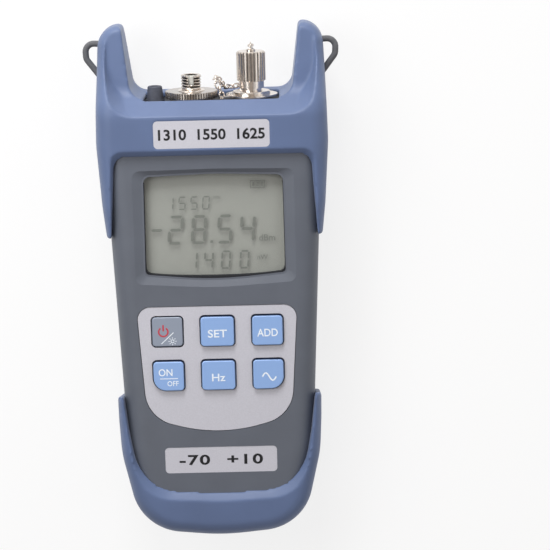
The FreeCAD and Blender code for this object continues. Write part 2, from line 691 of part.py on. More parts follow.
def strap_loop(side):
    """A bar bent round beside a horn, both of its ends moulded into the horn."""
    inner, outer = size.horn_tip_half - size.loop_root, size.horn_tip_half + size.loop_out
    corners = [Vector(side * x, y, size.loop_height) for x, y in (
        (inner, size.loop_high - size.loop_drop),
        (outer, size.loop_high),
        (outer - size.loop_drop, size.loop_high - size.loop_side),
        (inner, size.loop_low))]
    edges, start = [], corners[0]
    for before, point, after in zip(corners, corners[1:], corners[2:]):
        back, ahead = (before - point).normalize(), (after - point).normalize()
        half = back.getAngle(ahead) / 2
        reach = size.loop_round / math.tan(half)
        middle = point + (back + ahead).normalize() * (size.loop_round / math.sin(half) - size.loop_round)
        edges.append(Part.makeLine(start, point + back * reach))
        edges.append(Part.Arc(point + back * reach, middle, point + ahead * reach).toShape())
        start = point + ahead * reach
    edges.append(Part.makeLine(start, corners[-1]))
    ring = Part.Wire(Part.makeCircle(size.loop_wire, corners[0], corners[1] - corners[0]))
    return Part.Wire(edges).makePipeShell([ring], True, False)


loops = {"strap_loop_left": strap_loop(-1), "strap_loop_right": strap_loop(1)}
for name, shape in loops.items():
    keep(name, formed(name, shape))


# ---- soft bumpers ------------------------------------------------------------

def top_bumper():
    """The soft cap with its two horns, its scoop and the window for the ports."""
    slope = side_prism([
        (size.cap_start, 0, 0), (size.horn_back, 0, size.horn_back_round),
        (size.horn_tip, size.horn_back_rise, size.horn_tip_round),
        (size.horn_tip, size.horn_tip_height, size.horn_tip_round),
        (size.horn_knee, size.horn_knee_height, size.horn_knee_round),
        (size.horn_slope_start, size.bumper_front, size.horn_slope_round),
        (size.cap_start, size.bumper_front, 0)])
    solid = prism(cap_corners(), 0, size.bumper_front).common(slope).Solids[0]
    outer = [edge for edge in solid.Edges
             if not upright(edge) and edge.BoundBox.YMax > size.cap_start + NEAR
             and edge.BoundBox.XLength < size.cap_half]
    solid = solid.makeFillet(size.bumper_round, outer)
    solid = solid.cut(case_block())
    solid = solid.cut(prism(both([
        (size.window_tail_half, size.cap_start - OVERCUT, 0),
        (size.window_half, size.window_edge, size.window_round)]), -THROUGH, THROUGH))
    lip_low = outline(both([
        (size.window_tail_half, size.cap_start - OVERCUT, 0),
        (size.window_half, size.window_edge, size.window_round)]), size.case_front)
    lip_high = outline(both([
        (size.window_tail_half + size.lip_tail, size.cap_start - OVERCUT, 0),
        (size.window_half + size.lip_side, size.window_edge + size.lip_wide, size.window_round)]),
        size.bumper_front)
    solid = solid.cut(Part.makeLoft([lip_low, lip_high], True))
    above = size.bumper_front + OVERCUT
    upper = outline(both([(size.scoop_half, size.scoop_place, size.scoop_round),
                          (size.scoop_half, THROUGH, 0)]), above)
    lower = outline(both([(size.scoop_low_half, size.scoop_place + size.scoop_reach, size.scoop_low_round),
                          (size.scoop_low_half, THROUGH, 0)]), size.scoop_floor)
    cove = side_prism([
        (size.scoop_place, size.bumper_front, 0), (size.cove_place, size.cove_height, size.cove_round),
        (size.horn_tip, size.horn_face, 0), (THROUGH, size.horn_face, 0), (THROUGH, above, 0),
        (size.scoop_place, above, 0)])
    solid = solid.cut(Part.makeLoft([lower, upper], True).common(cove))
    solid = solid.cut(prism(both([(size.gap_half, size.deck_place, size.gap_round),
                                  (size.gap_tip_half, size.horn_tip, size.gap_tip_round),
                                  (size.horn_tip_half, size.horn_tip, 0),
                                  (size.horn_tip_half, THROUGH, 0)]), -THROUGH, THROUGH))
    half = size.deck_window_half
    solid = solid.cut(rib(-half, half, size.window_edge, THROUGH,
                          size.deck_window_low, size.deck_window_high))
    solid = solid.cut(rib(-half - size.end_plate_lap, half + size.end_plate_lap,
                          size.case_top, size.case_top + size.end_plate_thick,
                          size.deck_window_low - size.end_plate_lap,
                          size.deck_window_high + size.end_plate_lap))
    solid = solid.cut(badge_block(size.upper_badge, size.bumper_front))
    for loop in loops.values():
        solid = solid.cut(loop)
    return solid


def bottom_boot():
    """The soft boot round the lower end."""
    solid = prism(boot_corners(), 0, size.bumper_front)
    outer = [edge for edge in solid.Edges
             if not upright(edge) and edge.BoundBox.YMin < size.boot_tip - NEAR]
    solid = solid.makeFillet(size.bumper_round, outer)
    solid = solid.common(side_prism([
        (-THROUGH, 0, 0), (size.boot_tip - size.boot_tip_lean, 0, 0),
        (size.boot_tip, size.bumper_front, 0), (-THROUGH, size.bumper_front, 0)]))
    solid = solid.cut(case_block())
    solid = solid.cut(prism(boot_edge_corners(), -THROUGH, THROUGH))
    bevel = [outline(boot_edge_corners(), size.case_front),
             outline(boot_edge_corners(size.boot_lip_wide, size.boot_lip_side, size.boot_lip_round),
                     size.bumper_front)]
    return solid.cut(Part.makeLoft(bevel, True))


keep("top_bumper", formed("top_bumper", top_bumper()))
keep("bottom_boot", formed("bottom_boot", bottom_boot()))


# ---- case shells -------------------------------------------------------------

case_outside, case_inside = case_block(), case_block(size.case_wall)
keys = [(name, column, row) for name, column, row in (
    ("key_power", -1, 0), ("key_reference", 0, 0), ("key_store", 1, 0),
    ("key_light", -1, 1), ("key_unit", 0, 1), ("key_wavelength", 1, 1))]
case_screw_places = [(side * size.screw_x, y) for y in (size.screw_lower, size.screw_upper)
                     for side in (-1, 1)]
board_screw_places = [(side * size.board_screw_x, y) for side in (-1, 1) for y in (
    size.board_low + size.board_screw_inset, size.board_high - size.board_screw_inset)]
board_front = size.board_back + size.board_thick
inner_front = size.case_front - size.case_wall
head_face = size.case_back + size.screw_sink
head_seat = head_face + size.screw_head_thick
port_opening = rib(-size.deck_window_half + size.end_opening_side,
                   size.deck_window_half - size.end_opening_side,
                   size.case_top - 2 * size.case_wall, THROUGH,
                   size.deck_window_low + size.end_opening_side,
                   size.deck_window_high - size.end_opening_side)


def front_shell():
    solid = case_outside.cut(case_inside)
    solid = solid.common(rib(-THROUGH, THROUGH, -THROUGH, THROUGH, size.case_split, THROUGH))
    bosses = [Part.makeCylinder(size.boss_radius, THROUGH, Vector(x, y, size.case_split))
              for x, y in case_screw_places]
    bosses += [Part.makeCylinder(size.board_boss, THROUGH, Vector(x, y, board_front))
               for x, y in board_screw_places]
    collar_low = size.case_front - size.display_collar
    collar = prism(glass_corners(size.cover_lap), collar_low, inner_front + OVERCUT)
    solid = solid.fuse([boss.common(case_outside) for boss in bosses] + [collar])
    solid = solid.cut(port_opening)
    solid = solid.cut(prism(glass_corners(), 0, THROUGH))
    solid = solid.cut(display_recess())
    panel_floor = size.case_front - size.panel_sink - size.panel_thick
    solid = solid.cut(prism(panel_corners(size.panel_gap), panel_floor, THROUGH))
    for _, column, row in keys:
        solid = solid.cut(prism(key_corners(column, row, size.key_gap), 0, THROUGH))
    solid = solid.cut(badge_block(size.lower_badge, size.case_front))
    for x, y in case_screw_places:
        solid = solid.cut(Part.makeCylinder(size.screw_radius, size.screw_bite,
                                            Vector(x, y, size.case_split)))
    for x, y in board_screw_places:
        solid = solid.cut(Part.makeCylinder(size.board_screw, size.board_screw_bite,
                                            Vector(x, y, board_front)))
    return solid


def bay_room(grow=0.0):
    """The battery bay, widened all round; it is open at the rear."""
    half = size.cell_pitch + size.cell_radius + size.bay_gap + grow
    return rib(-half, half, bay_low - grow, bay_high + grow, -THROUGH, bay_roof + grow)


bay_low = size.cell_low - size.contact_room
bay_high = size.cell_low + size.cell_length + size.cell_button_tall + size.contact_room
bay_roof = size.cell_height + size.cell_radius + size.bay_gap
door_half = size.cell_pitch + size.cell_radius + size.bay_gap - size.door_gap
door_axis_y = bay_low + size.door_gap + size.door_thick / 2
door_axis_z = size.case_back + size.door_thick / 2


def rear_shell():
    solid = case_outside.cut(case_inside)
    solid = solid.common(rib(-THROUGH, THROUGH, -THROUGH, THROUGH, -THROUGH, size.case_split))
    bosses = [Part.makeCylinder(size.boss_radius, size.case_split, Vector(x, y, 0))
              for x, y in case_screw_places]
    bay = bay_room(size.bay_wall).common(rib(-THROUGH, THROUGH, -THROUGH, THROUGH,
                                             size.case_back, THROUGH))
    solid = solid.fuse([shape.common(case_outside) for shape in bosses + [bay]])
    solid = solid.cut(bay_room()).cut(port_opening)
    for x, y in case_screw_places:
        head = Part.makeCylinder(size.screw_head + size.screw_slack, head_seat, Vector(x, y, 0))
        shank = Part.makeCylinder(size.screw_radius + size.screw_slack, THROUGH, Vector(x, y, 0))
        solid = solid.cut(head).cut(shank)
    pin = size.door_pin + size.fit
    reach = door_half + size.door_pin_long + size.door_gap
    solid = solid.cut(bar(pin, (-reach, door_axis_y, door_axis_z), (reach, door_axis_y, door_axis_z)))
    half, deep = size.label_long / 2, size.label_wide / 2
    return solid.cut(rib(-half, half, size.label_place - deep, size.label_place + deep,
                         0, size.case_back + size.label_thick))


def battery_door():
    """A flat door with a rounded edge that turns on two pins."""
    half = door_half
    plate = rib(-half, half, door_axis_y, bay_high - size.door_gap,
                size.case_back, size.case_back + size.door_thick)
    edge = bar(size.door_thick / 2, (-half, door_axis_y, door_axis_z), (half, door_axis_y, door_axis_z))
    reach = half + size.door_pin_long
    pins = bar(size.door_pin, (-reach, door_axis_y, door_axis_z), (reach, door_axis_y, door_axis_z))
    notch = bar(size.door_notch, (0, bay_high, -size.door_notch_lift), (0, bay_high, size.case_back
                + size.door_thick / 2))
    return plate.fuse([edge, pins]).removeSplitter().cut(notch)


keep("front_shell", formed("front_shell", front_shell()))
keep("rear_shell", formed("rear_shell", rear_shell()))
keep("battery_door", formed("battery_door", battery_door()))
keep("rear_label", block("rear_label", "label_long", "label_wide", "label_thick",
                         "0", "label_place", "case_back"))


# ---- display -----------------------------------------------------------------

cover_top = size.case_front - size.display_collar
lcd_top = cover_top - size.cover_thick
lcd_low = lcd_top - size.lcd_thick
keep("display_window", formed("display_window", prism(glass_corners(size.cover_lap), lcd_top, cover_top)))
keep("lcd_panel", formed("lcd_panel", prism(glass_corners(size.lcd_lap), lcd_low, lcd_top)))
keep("lcd_frame", formed("lcd_frame", prism(
    glass_corners(size.lcd_lap + size.frame_wall), board_front, lcd_top).cut(
    prism(glass_corners(size.lcd_lap), board_front, lcd_top))))
LCD_LOW = "case_front - display_collar - cover_thick - lcd_thick"
BOARD_FRONT = "board_back + board_thick"
STRIP_TALL = f"( {LCD_LOW} ) - ( {BOARD_FRONT} )"
STRIP_LOW, STRIP_HIGH = "glass_low + zebra_wide", "glass_high - zebra_wide"
STRIP_LONG = "2 * ( glass_half - zebra_wide * 2 )"
keep("lcd_connectors", group("lcd_connectors", [
    block(name, STRIP_LONG, "zebra_wide", STRIP_TALL, "0", y, BOARD_FRONT)
    for name, y in (("lower_strip", STRIP_LOW), ("upper_strip", STRIP_HIGH))]))
keep("backlight", block("backlight", STRIP_LONG, f"( {STRIP_HIGH} ) - ( {STRIP_LOW} ) - zebra_wide * 2",
                        STRIP_TALL, "0", f"( ( {STRIP_HIGH} ) + ( {STRIP_LOW} ) ) / 2", BOARD_FRONT))


# ---- keypad and badges -------------------------------------------------------

def keypad_panel():
    top = size.case_front - size.panel_sink
    solid = prism(panel_corners(), top - size.panel_thick, top)
    for _, column, row in keys:
        solid = solid.cut(prism(key_corners(column, row, size.key_gap), 0, THROUGH))
    return solid


KEY_LIP = "( case_front - case_wall - key_slack - key_lip_thick )"
KEY_FOOT = f"( {KEY_LIP} - key_foot )"


def key(name, column, row):
    """A keycap with a rounded edge, on a lip that holds it behind the front shell."""
    wide = "key_width" if column else "key_middle_width"
    rise = "power_key_rise" if name == "key_power" else "key_rise"
    y = "key_lower_row" if row else "key_upper_row"
    x = f"{column} * key_column"
    cap = padded(name + "_cap", rectangle(wide, "key_height"),
                 f"case_front + {rise} - {KEY_FOOT}", x, y, KEY_FOOT)
    tall = number(f"case_front + {rise} - {KEY_FOOT}")
    large = row and column
    if large:
        rounded(cap, name + "_large_corner", "key_corner_round",
                lambda edge: upright(edge) and edge.BoundBox.XMin * column > 0
                and edge.BoundBox.YMin < 0)
    doc.recompute()
    small = [edge for edge in cap.Tip.Shape.Edges if upright(edge)
             and not (large and edge.BoundBox.XMin * column > 0 and edge.BoundBox.YMin < 0)
             and not (large and edge.BoundBox.XMin * column > 0 and
                      abs(edge.BoundBox.YMin) < number("key_height") / 2 - NEAR)
             and not (large and edge.BoundBox.YMin < 0 and
                      abs(edge.BoundBox.XMin) < number(wide) / 2 - NEAR)]
    rounded(cap, name + "_corners", "key_round",
            lambda edge: any(edge.isSame(other) for other in small))
    rounded(cap, name + "_edge", "key_edge_round", lambda edge: level(edge, tall))
    lip = block(name + "_lip", f"{wide} + 2 * key_lip", "key_height + 2 * key_lip",
                "key_lip_thick", x, y, KEY_LIP)
    return keep(name, fuse(name, [cap, lip]))


keep("keypad_panel", formed("keypad_panel", keypad_panel()))
for name, column, row in keys:
    key(name, column, row)

SWITCH_TALL = f"{KEY_FOOT} - key_travel - key_slack - ( {BOARD_FRONT} )"
switches = []
for name, column, row in keys:
    x = f"{column} * key_column"
    y = "key_lower_row" if row else "key_upper_row"
    case = block(name + "_switch_case", "switch_base", "switch_base", f"( {SWITCH_TALL} ) * switch_case",
                 x, y, BOARD_FRONT)
    button = post(name + "_switch_button", "switch_button", SWITCH_TALL, x, y, BOARD_FRONT)
    switches.append(fuse(name + "_switch", [case, button]))
keep("key_switches", group("key_switches", switches))


def badge(name, y, face):
    plate = padded(name, rectangle("badge_long", "badge_wide"), "badge_thick",
                   "0", y, f"{face} - badge_sink - badge_thick")
    return keep(name, rounded(plate, name + "_corners", "badge_round", upright))


badge("upper_plate", "upper_badge", "bumper_front")
badge("lower_plate", "lower_badge", "case_front")


# ---- boards and fasteners ----------------------------------------------------

def screws(name, places, radius, bite, head, head_thick, seat):
    """Screws driven upwards; each has its head under the seat."""
    items = []
    for index, (x, y) in enumerate(places, start=1):
        shank = post(f"{name}_shank_{index}", radius, bite, x, y, seat)
        top = post(f"{name}_head_{index}", head, head_thick, x, y, f"{seat} - {head_thick}")
        items.append(fuse(f"{name}_{index}", [shank, top]))
    return keep(name, group(name, items))


CASE_SCREWS = [(f"{side} * screw_x", y) for y in ("screw_lower", "screw_upper") for side in (-1, 1)]
BOARD_SCREWS = [(f"{side} * board_screw_x", y) for side in (-1, 1)
                for y in ("board_low + board_screw_inset", "board_high - board_screw_inset")]
HEAD_SEAT = "( case_back + screw_sink + screw_head_thick )"
screws("case_screws", CASE_SCREWS, "screw_radius", f"case_split + screw_bite - slack_end - {HEAD_SEAT}",
       "screw_head", "screw_head_thick", HEAD_SEAT)
screws("board_screws", BOARD_SCREWS, "board_screw", "board_thick + board_screw_bite - slack_end",
       "board_screw_head", "board_screw_head_thick", "board_back")

board = block("board_blank", "2 * board_half", "board_high - board_low", "board_thick",
              "0", "( board_high + board_low ) / 2", "board_back")
board_holes = [post(f"board_hole_{index}", "board_screw", "board_thick", x, y, "board_back")
               for index, (x, y) in enumerate(BOARD_SCREWS)]
keep("main_board", cut("main_board", board, *board_holes))
CHIP_LOW = "board_back - chip_thick"
keep("processor", block("processor", "processor_side", "processor_side", "chip_thick",
                        "0", "processor_place", CHIP_LOW))
keep("small_chips", group("small_chips", [
    block(f"chip_{index}", "chip_long", "chip_wide", "chip_thick",
          f"{side} * chip_x", y, CHIP_LOW)
    for index, (side, y) in enumerate(((-1, "processor_place"), (1, "processor_place"),
                                       (-1, "amplifier_place")), start=1)]))
keep("buzzer", post("buzzer", "buzzer_radius", "buzzer_thick", "source_x", "buzzer_place",
                    "board_back - buzzer_thick"))


# ---- batteries ---------------------------------------------------------------

CELL_TOTAL = "( cell_length + cell_button_tall )"
CELL_PROFILE = [("0", "0"), ("cell_radius", "0"), ("cell_radius", "cell_length"),
                ("cell_button", "cell_length"), ("cell_button", CELL_TOTAL), ("0", CELL_TOTAL)]
for index, column in enumerate((-1, 0, 1), start=1):
    flipped = column == 0
    keep(f"battery_{index}", turned(
        f"battery_{index}", CELL_PROFILE, f"{column} * cell_pitch",
        f"cell_low + {CELL_TOTAL}" if flipped else "cell_low", "cell_height",
        HALF_TURN if flipped else None))


def contact(column, low_end, flat):
    """A bent strip that bridges the room between the bay's end and a cell."""
    thick, foot, room = size.contact_thick, size.contact_foot, size.contact_room
    top = foot / 2 if flat else thick / 2
    outer = [(-2 * foot, 0), (-foot, 0), (-top, room - thick), (top, room - thick), (foot, 0), (2 * foot, 0)]
    inner = [(2 * foot, thick), (foot + thick, thick), (top + thick / 2, room), (-top - thick / 2, room),
             (-foot - thick, thick), (-2 * foot, thick)]
    shape = Part.Face(Part.makePolygon([Vector(x, y, 0) for x, y in outer + inner + outer[:1]]))
    solid = shape.extrude(Vector(0, 0, size.contact_wide))
    solid.translate(Vector(0, 0, size.cell_height - size.contact_wide / 2))
    end = bay_low if low_end else bay_high
    turn = Rotation() if low_end else HALF_TURN
    solid.Placement = Placement(Vector(column * size.cell_pitch, end, 0), turn).multiply(solid.Placement)
    return solid


springs, plates = [], []
for column in (-1, 0, 1):
    flipped = column == 0
    springs.append(contact(column, not flipped, False))
    plates.append(contact(column, flipped, True))
keep("contact_springs", formed("contact_springs", Part.makeCompound(springs)))
keep("contact_plates", formed("contact_plates", Part.makeCompound(plates)))


# ---- port end ----------------------------------------------------------------

END_LOW = "case_top"
END_FACE = "( case_top + end_plate_thick )"
plate = block("end_blank", "2 * ( deck_window_half + end_plate_lap )", "end_plate_thick",
              "deck_window_high - deck_window_low + 2 * end_plate_lap", "0",
              "case_top + end_plate_thick / 2", "deck_window_low - end_plate_lap")
keep("end_plate", cut("end_plate", plate,
                      rod("meter_hole", "mount_radius", "end_plate_thick", "meter_x", END_LOW, "port_height"),
                      rod("source_hole", "source_body", "end_plate_thick", "source_x", END_LOW, "port_height"),
                      rod("lamp_hole", "led_radius", "end_plate_thick", "lamp_x", END_LOW,
                          "port_height")))


def port(name, profile, x):
    """A turned piece on a port's axis; its profile's stations are places along Y."""
    return keep(name, turned(name, profile, x, "0", "port_height"))


port("detector_mount", [
    ("detector_radius", "mount_low"), ("mount_radius", "mount_low"),
    ("mount_radius", "case_top - mount_flange_thick"), ("mount_flange", "case_top - mount_flange_thick"),
    ("mount_flange", "case_top"), ("mount_radius", "case_top"),
    ("mount_radius", "mount_top"), ("detector_radius", "mount_top")], "meter_x")
keep("photodiode", rod("photodiode", "detector_radius", "detector_long", "meter_x", "mount_low",
                       "port_height"))
NUT_TOP = "( nut_low + nut_thick )"
nut = turned("adapter_nut", [
    ("mount_radius + fit", "nut_low"), ("nut_radius - nut_bevel", "nut_low"),
    ("nut_radius", "nut_low + nut_bevel"), ("nut_radius", f"{NUT_TOP} - nut_bevel"),
    ("nut_radius - nut_bevel", NUT_TOP), ("shoulder_radius + fit", NUT_TOP),
    ("shoulder_radius + fit", f"{NUT_TOP} - nut_web"), ("mount_radius + fit", f"{NUT_TOP} - nut_web")],
    "meter_x", "0", "port_height")
keep("adapter_nut", fluted(nut, "nut", "nut_flutes", "flute_radius", "nut_radius", "nut_low", "nut_thick"))
SHOULDER_TOP = f"( {NUT_TOP} + shoulder_thick )"
THREAD_TOP = f"( {SHOULDER_TOP} + thread_length )"
barrel = turned("barrel_blank", [
    ("barrel_bore", "mount_top + fit"), ("barrel_flange", "mount_top + fit"),
    ("barrel_flange", f"{NUT_TOP} - nut_web - fit"), ("shoulder_radius", f"{NUT_TOP} - nut_web - fit"),
    ("shoulder_radius", SHOULDER_TOP), ("thread_radius", SHOULDER_TOP),
    ("thread_radius", THREAD_TOP), ("barrel_bore", THREAD_TOP)], "meter_x", "0", "port_height")
key_slot = block("key_slot", "slot_wide", "slot_deep", "thread_radius", "meter_x",
                 f"{THREAD_TOP} - slot_deep / 2", "port_height")
keep("meter_barrel", cut("meter_barrel", barrel, key_slot))
port("ferrule_sleeve", [
    ("ferrule_bore", "mount_top + sleeve_sink"), ("barrel_bore", "mount_top + sleeve_sink"),
    ("barrel_bore", "mount_top + sleeve_sink + sleeve_foot"),
    ("sleeve_radius", "mount_top + sleeve_sink + sleeve_foot"),
    ("sleeve_radius", f"{THREAD_TOP} - sleeve_sink"), ("ferrule_bore", f"{THREAD_TOP} - sleeve_sink")],
    "meter_x")

WASHER_TOP = "( washer_low + washer_thick )"
SOURCE_NUT_TOP = f"( {WASHER_TOP} + source_nut_thick )"
NECK_TOP = f"( {SOURCE_NUT_TOP} + source_neck )"
port("source_port", [
    ("ferrule_bore", "source_low"), ("source_body", "source_low"), ("source_body", "washer_low"),
    ("thread_radius", "washer_low"), ("thread_radius", NECK_TOP), ("ferrule_bore", NECK_TOP)], "source_x")
keep("laser_module", rod("laser_module", "laser_radius", "laser_long", "source_x",
                         "source_low - laser_long", "port_height"))
port("source_nut", [("thread_radius", WASHER_TOP), ("source_nut", WASHER_TOP),
                    ("source_nut", f"{SOURCE_NUT_TOP} - nut_bevel"),
                    ("source_nut - nut_bevel", SOURCE_NUT_TOP), ("thread_radius", SOURCE_NUT_TOP)],
     "source_x")
lug_turn = math.radians(size.lug_turn)
outward = Vector(-math.cos(lug_turn), 0, math.sin(lug_turn))
source_axis = Vector(size.source_x, 0, size.port_height)


def chain_washer():
    """A flat washer with a drilled lug for the chain."""
    low, high = size.washer_low, size.washer_low + size.washer_thick
    lug = source_axis + outward * size.lug_reach

    def disc(radius, centre):
        return bar(radius, (centre.x, low, centre.z), (centre.x, high, centre.z))
    arm = Part.makeBox(size.lug_reach, 2 * size.lug_radius, high - low, Vector(0, -size.lug_radius, 0))
    arm.Placement = Placement(Vector(source_axis.x, high, source_axis.z),
                              Rotation(outward, Vector(0, 0, 1), Vector(0, -1, 0), "XZY"))
    solid = disc(size.washer_radius, source_axis).fuse([arm, disc(size.lug_radius, lug)])
    return solid.cut([disc(size.thread_radius, source_axis), disc(size.lug_hole, lug)]).removeSplitter()


keep("chain_washer", formed("chain_washer", chain_washer()))

CAP_LOW = f"( {SOURCE_NUT_TOP} + cap_lift_gap )"
CAP_TOP = f"( {CAP_LOW} + cap_tall )"
GRIP_LOW = f"( {CAP_LOW} + cap_collar_tall )"
HEAD_TOP = f"( {CAP_TOP} - swivel_depth )"
cap = turned("dust_cap", [
    ("thread_radius + fit", CAP_LOW), ("cap_collar", CAP_LOW), ("cap_collar", GRIP_LOW),
    ("cap_grip - nut_bevel", GRIP_LOW), ("cap_grip", f"{GRIP_LOW} + nut_bevel"),
    ("cap_grip", f"{CAP_TOP} - cap_bevel"), ("cap_grip - cap_bevel", CAP_TOP),
    ("swivel_stem + fit", CAP_TOP), ("swivel_stem + fit", HEAD_TOP), ("swivel_head + fit", HEAD_TOP),
    ("swivel_head + fit", f"{NECK_TOP} + cap_lift_gap"), ("thread_radius + fit", f"{NECK_TOP} + cap_lift_gap")],
    "source_x", "0", "port_height")
keep("dust_cap", fluted(cap, "cap", "cap_flutes", "cap_flute_radius", "cap_grip", GRIP_LOW,
                        f"{CAP_TOP} - {GRIP_LOW}"))
EYE_PLACE = f"( {CAP_TOP} + swivel_collar + eye_radius )"
stem = turned("swivel_turning", [
    ("0", f"{HEAD_TOP} - fit - swivel_head_thick"), ("swivel_head", f"{HEAD_TOP} - fit - swivel_head_thick"),
    ("swivel_head", f"{HEAD_TOP} - fit"), ("swivel_stem", f"{HEAD_TOP} - fit"),
    ("swivel_stem", f"{CAP_TOP} + fit"), ("swivel_head", f"{CAP_TOP} + fit"),
    ("swivel_head", f"{CAP_TOP} + swivel_collar"), ("0", f"{CAP_TOP} + swivel_collar")],
    "source_x", "0", "port_height")
eye = doc.addObject("Part::Torus", "swivel_eye")
eye.Placement = Placement(Vector(), Rotation(Vector(0, 1, 0), 90))
bind(eye, Radius1="eye_radius", Radius2="wire_radius")
place(eye, "source_x", EYE_PLACE, "port_height")
keep("cap_swivel", fuse("cap_swivel", [stem, eye]))

LAMP_FACE = f"{END_FACE} + lamp_tall"
port("lamp_bezel", [
    ("led_radius", END_FACE), ("lamp_foot", END_FACE), ("lamp_foot", f"{END_FACE} + lamp_foot_tall"),
    ("lamp_radius", f"{END_FACE} + lamp_foot_tall"), ("lamp_radius - lamp_taper", f"{LAMP_FACE} - nut_bevel"),
    ("lamp_radius - lamp_taper - nut_bevel", LAMP_FACE), ("led_radius", LAMP_FACE)], "lamp_x")
port("lamp_led", [
    ("0", "case_top"), ("led_radius", "case_top"), ("led_radius", "case_top + led_tall - led_bevel"),
    ("led_radius - led_bevel", "case_top + led_tall"), ("0", "case_top + led_tall")], "lamp_x")


# ---- chain -------------------------------------------------------------------

def chain_link():
    """One link round the origin, its long way along Y, its flat in the XY plane."""
    half, radius, wire = size.link_straight / 2, size.link_radius, size.wire_radius
    sides = [bar(wire, (side * radius, -half, 0), (side * radius, half, 0)) for side in (-1, 1)]
    ends = []
    for end in (-1, 1):
        bow = Part.makeTorus(radius, wire, Vector(0, end * half, 0), Vector(0, 0, 1), -180, 180, 180)
        if end < 0:
            bow.rotate(Vector(0, end * half, 0), Vector(0, 0, 1), 180)
        ends.append(bow)
    return sides[0].fuse([sides[1]] + ends).removeSplitter()


# the chain's way from its lug to the cap's eye: shares of the distance to the port axis and of the
# height to the eye, and where it is before or behind that axis, as a share of the lug's and the
# chain's own distance from it
CHAIN_RUN = [
    (-0.09, 0.16, 1), (-0.21, 0.31, 0.86), (-0.23, 0.3, 0.36), (-0.09, 0.16, -0.2), (0.12, 0.09, -0.66),
    (0.5, 0.09, -0.95), (0.84, 0.22, -1.03), (1, 0.55, -1), (1, 0.84, -0.88), (1, 0.97, -0.64),
    (1, 1, -0.38)]


def chain():
    """Links along the chain's run, each turned a quarter from the last."""
    inner = size.link_straight / 2 + size.link_radius - size.wire_radius
    hook = source_axis + outward * (size.lug_reach + size.lug_radius - size.lug_hole / 2)
    start = Vector(hook.x, size.washer_low + inner - 2 * size.fit, hook.z)
    eye_y = number(EYE_PLACE)
    end = Vector(size.source_x, eye_y, size.port_height - size.eye_radius + size.wire_radius
                 + 2 * size.fit - inner)
    rise = Vector(0, eye_y - start.y, 0)
    inwards = Vector(size.source_x - start.x, 0, 0)
    run = [start]
    for across, up, front in CHAIN_RUN:
        depth = (start.z - size.port_height) if front > 0 else size.chain_behind
        run.append(Vector(start.x, start.y, size.port_height + front * depth) + inwards * across + rise * up)
    path = Part.BSplineCurve()
    path.interpolate(Points=run + [end])
    edge = path.toShape()
    pitch = size.link_straight + 2 * (size.link_radius - size.wire_radius) - size.fit
    count = math.ceil(edge.Length / pitch)
    link, links = chain_link(), []
    across, twist = outward, 0.0
    frames = []
    for index in range(count + 1):
        spot = edge.getParameterByLength(edge.Length * index / count)
        along = edge.tangentAt(spot).normalize()
        across = (across - along * across.dot(along)).normalize()
        frames.append((edge.valueAt(spot), along, Vector(across)))
    point, along, across = frames[-1]
    wanted = Vector(1, 0, 0) if count % 2 == 0 else Vector(0, 1, 0)
    twist = math.degrees(across.getAngle(wanted))
    if across.cross(wanted).dot(along) < 0:
        twist = -twist
    for index, (point, along, across) in enumerate(frames):
        turn = Rotation(across, along, across.cross(along), "YXZ")
        roll = Rotation(Vector(0, 1, 0), twist * index / count + (QUARTER if index % 2 else 0))
        links.append(link.copy())
        links[-1].Placement = Placement(point, turn.multiply(roll))
    return Part.makeCompound(links)


keep("cap_chain", formed("cap_chain", chain()))


# ---- checks and files --------------------------------------------------------

doc.recompute()
for item in doc.Objects:
    if "Invalid" in item.State or "Error" in item.State:
        raise RuntimeError(f"{item.Name} failed: {item.State}")
for name, feature in parts.items():
    if feature.Shape.isNull() or not feature.Shape.isValid() or not feature.Shape.Solids:
        raise RuntimeError(f"{name} has no sound shape")
os.makedirs("parts", exist_ok=True)
for name, feature in parts.items():
    feature.Shape.exportStep(f"parts/{name}.step")
print(f"{len(parts)} sub-parts written")
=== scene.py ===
import json
import math
import bpy
from bpy.props import FloatProperty, FloatVectorProperty, PointerProperty, StringProperty
from mathutils import Matrix, Vector

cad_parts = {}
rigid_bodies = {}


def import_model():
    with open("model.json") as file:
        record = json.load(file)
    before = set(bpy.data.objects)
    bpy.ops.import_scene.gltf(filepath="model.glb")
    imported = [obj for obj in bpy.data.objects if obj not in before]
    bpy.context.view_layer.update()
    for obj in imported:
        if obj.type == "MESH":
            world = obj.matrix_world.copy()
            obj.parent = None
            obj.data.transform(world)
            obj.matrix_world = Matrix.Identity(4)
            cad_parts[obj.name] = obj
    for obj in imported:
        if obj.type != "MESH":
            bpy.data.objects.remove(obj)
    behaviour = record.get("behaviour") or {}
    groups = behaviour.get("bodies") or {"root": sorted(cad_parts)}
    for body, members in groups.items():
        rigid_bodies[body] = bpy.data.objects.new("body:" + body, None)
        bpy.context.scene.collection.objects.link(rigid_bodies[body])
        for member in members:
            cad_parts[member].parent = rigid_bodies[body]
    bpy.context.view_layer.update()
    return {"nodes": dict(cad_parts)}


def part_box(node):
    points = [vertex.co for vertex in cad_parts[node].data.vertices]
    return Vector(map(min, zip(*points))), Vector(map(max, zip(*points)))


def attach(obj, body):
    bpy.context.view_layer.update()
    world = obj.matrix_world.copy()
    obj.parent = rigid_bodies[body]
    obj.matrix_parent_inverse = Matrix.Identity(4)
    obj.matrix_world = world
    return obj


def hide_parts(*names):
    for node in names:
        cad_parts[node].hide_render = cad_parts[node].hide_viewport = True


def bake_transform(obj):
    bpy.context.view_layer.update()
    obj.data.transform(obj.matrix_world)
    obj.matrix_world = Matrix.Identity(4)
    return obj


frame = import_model()
NODES = frame["nodes"]

bl_info = {
    "name": "Optical power meter finish",
    "version": (1, 0, 0),
    "blender": (4, 5, 0),
    "location": "View3D > Sidebar > Meter",
    "description": "Dresses a handheld optical power meter: finishes, threads, display and legends",
    "category": "Object",
}

MM = 0.001
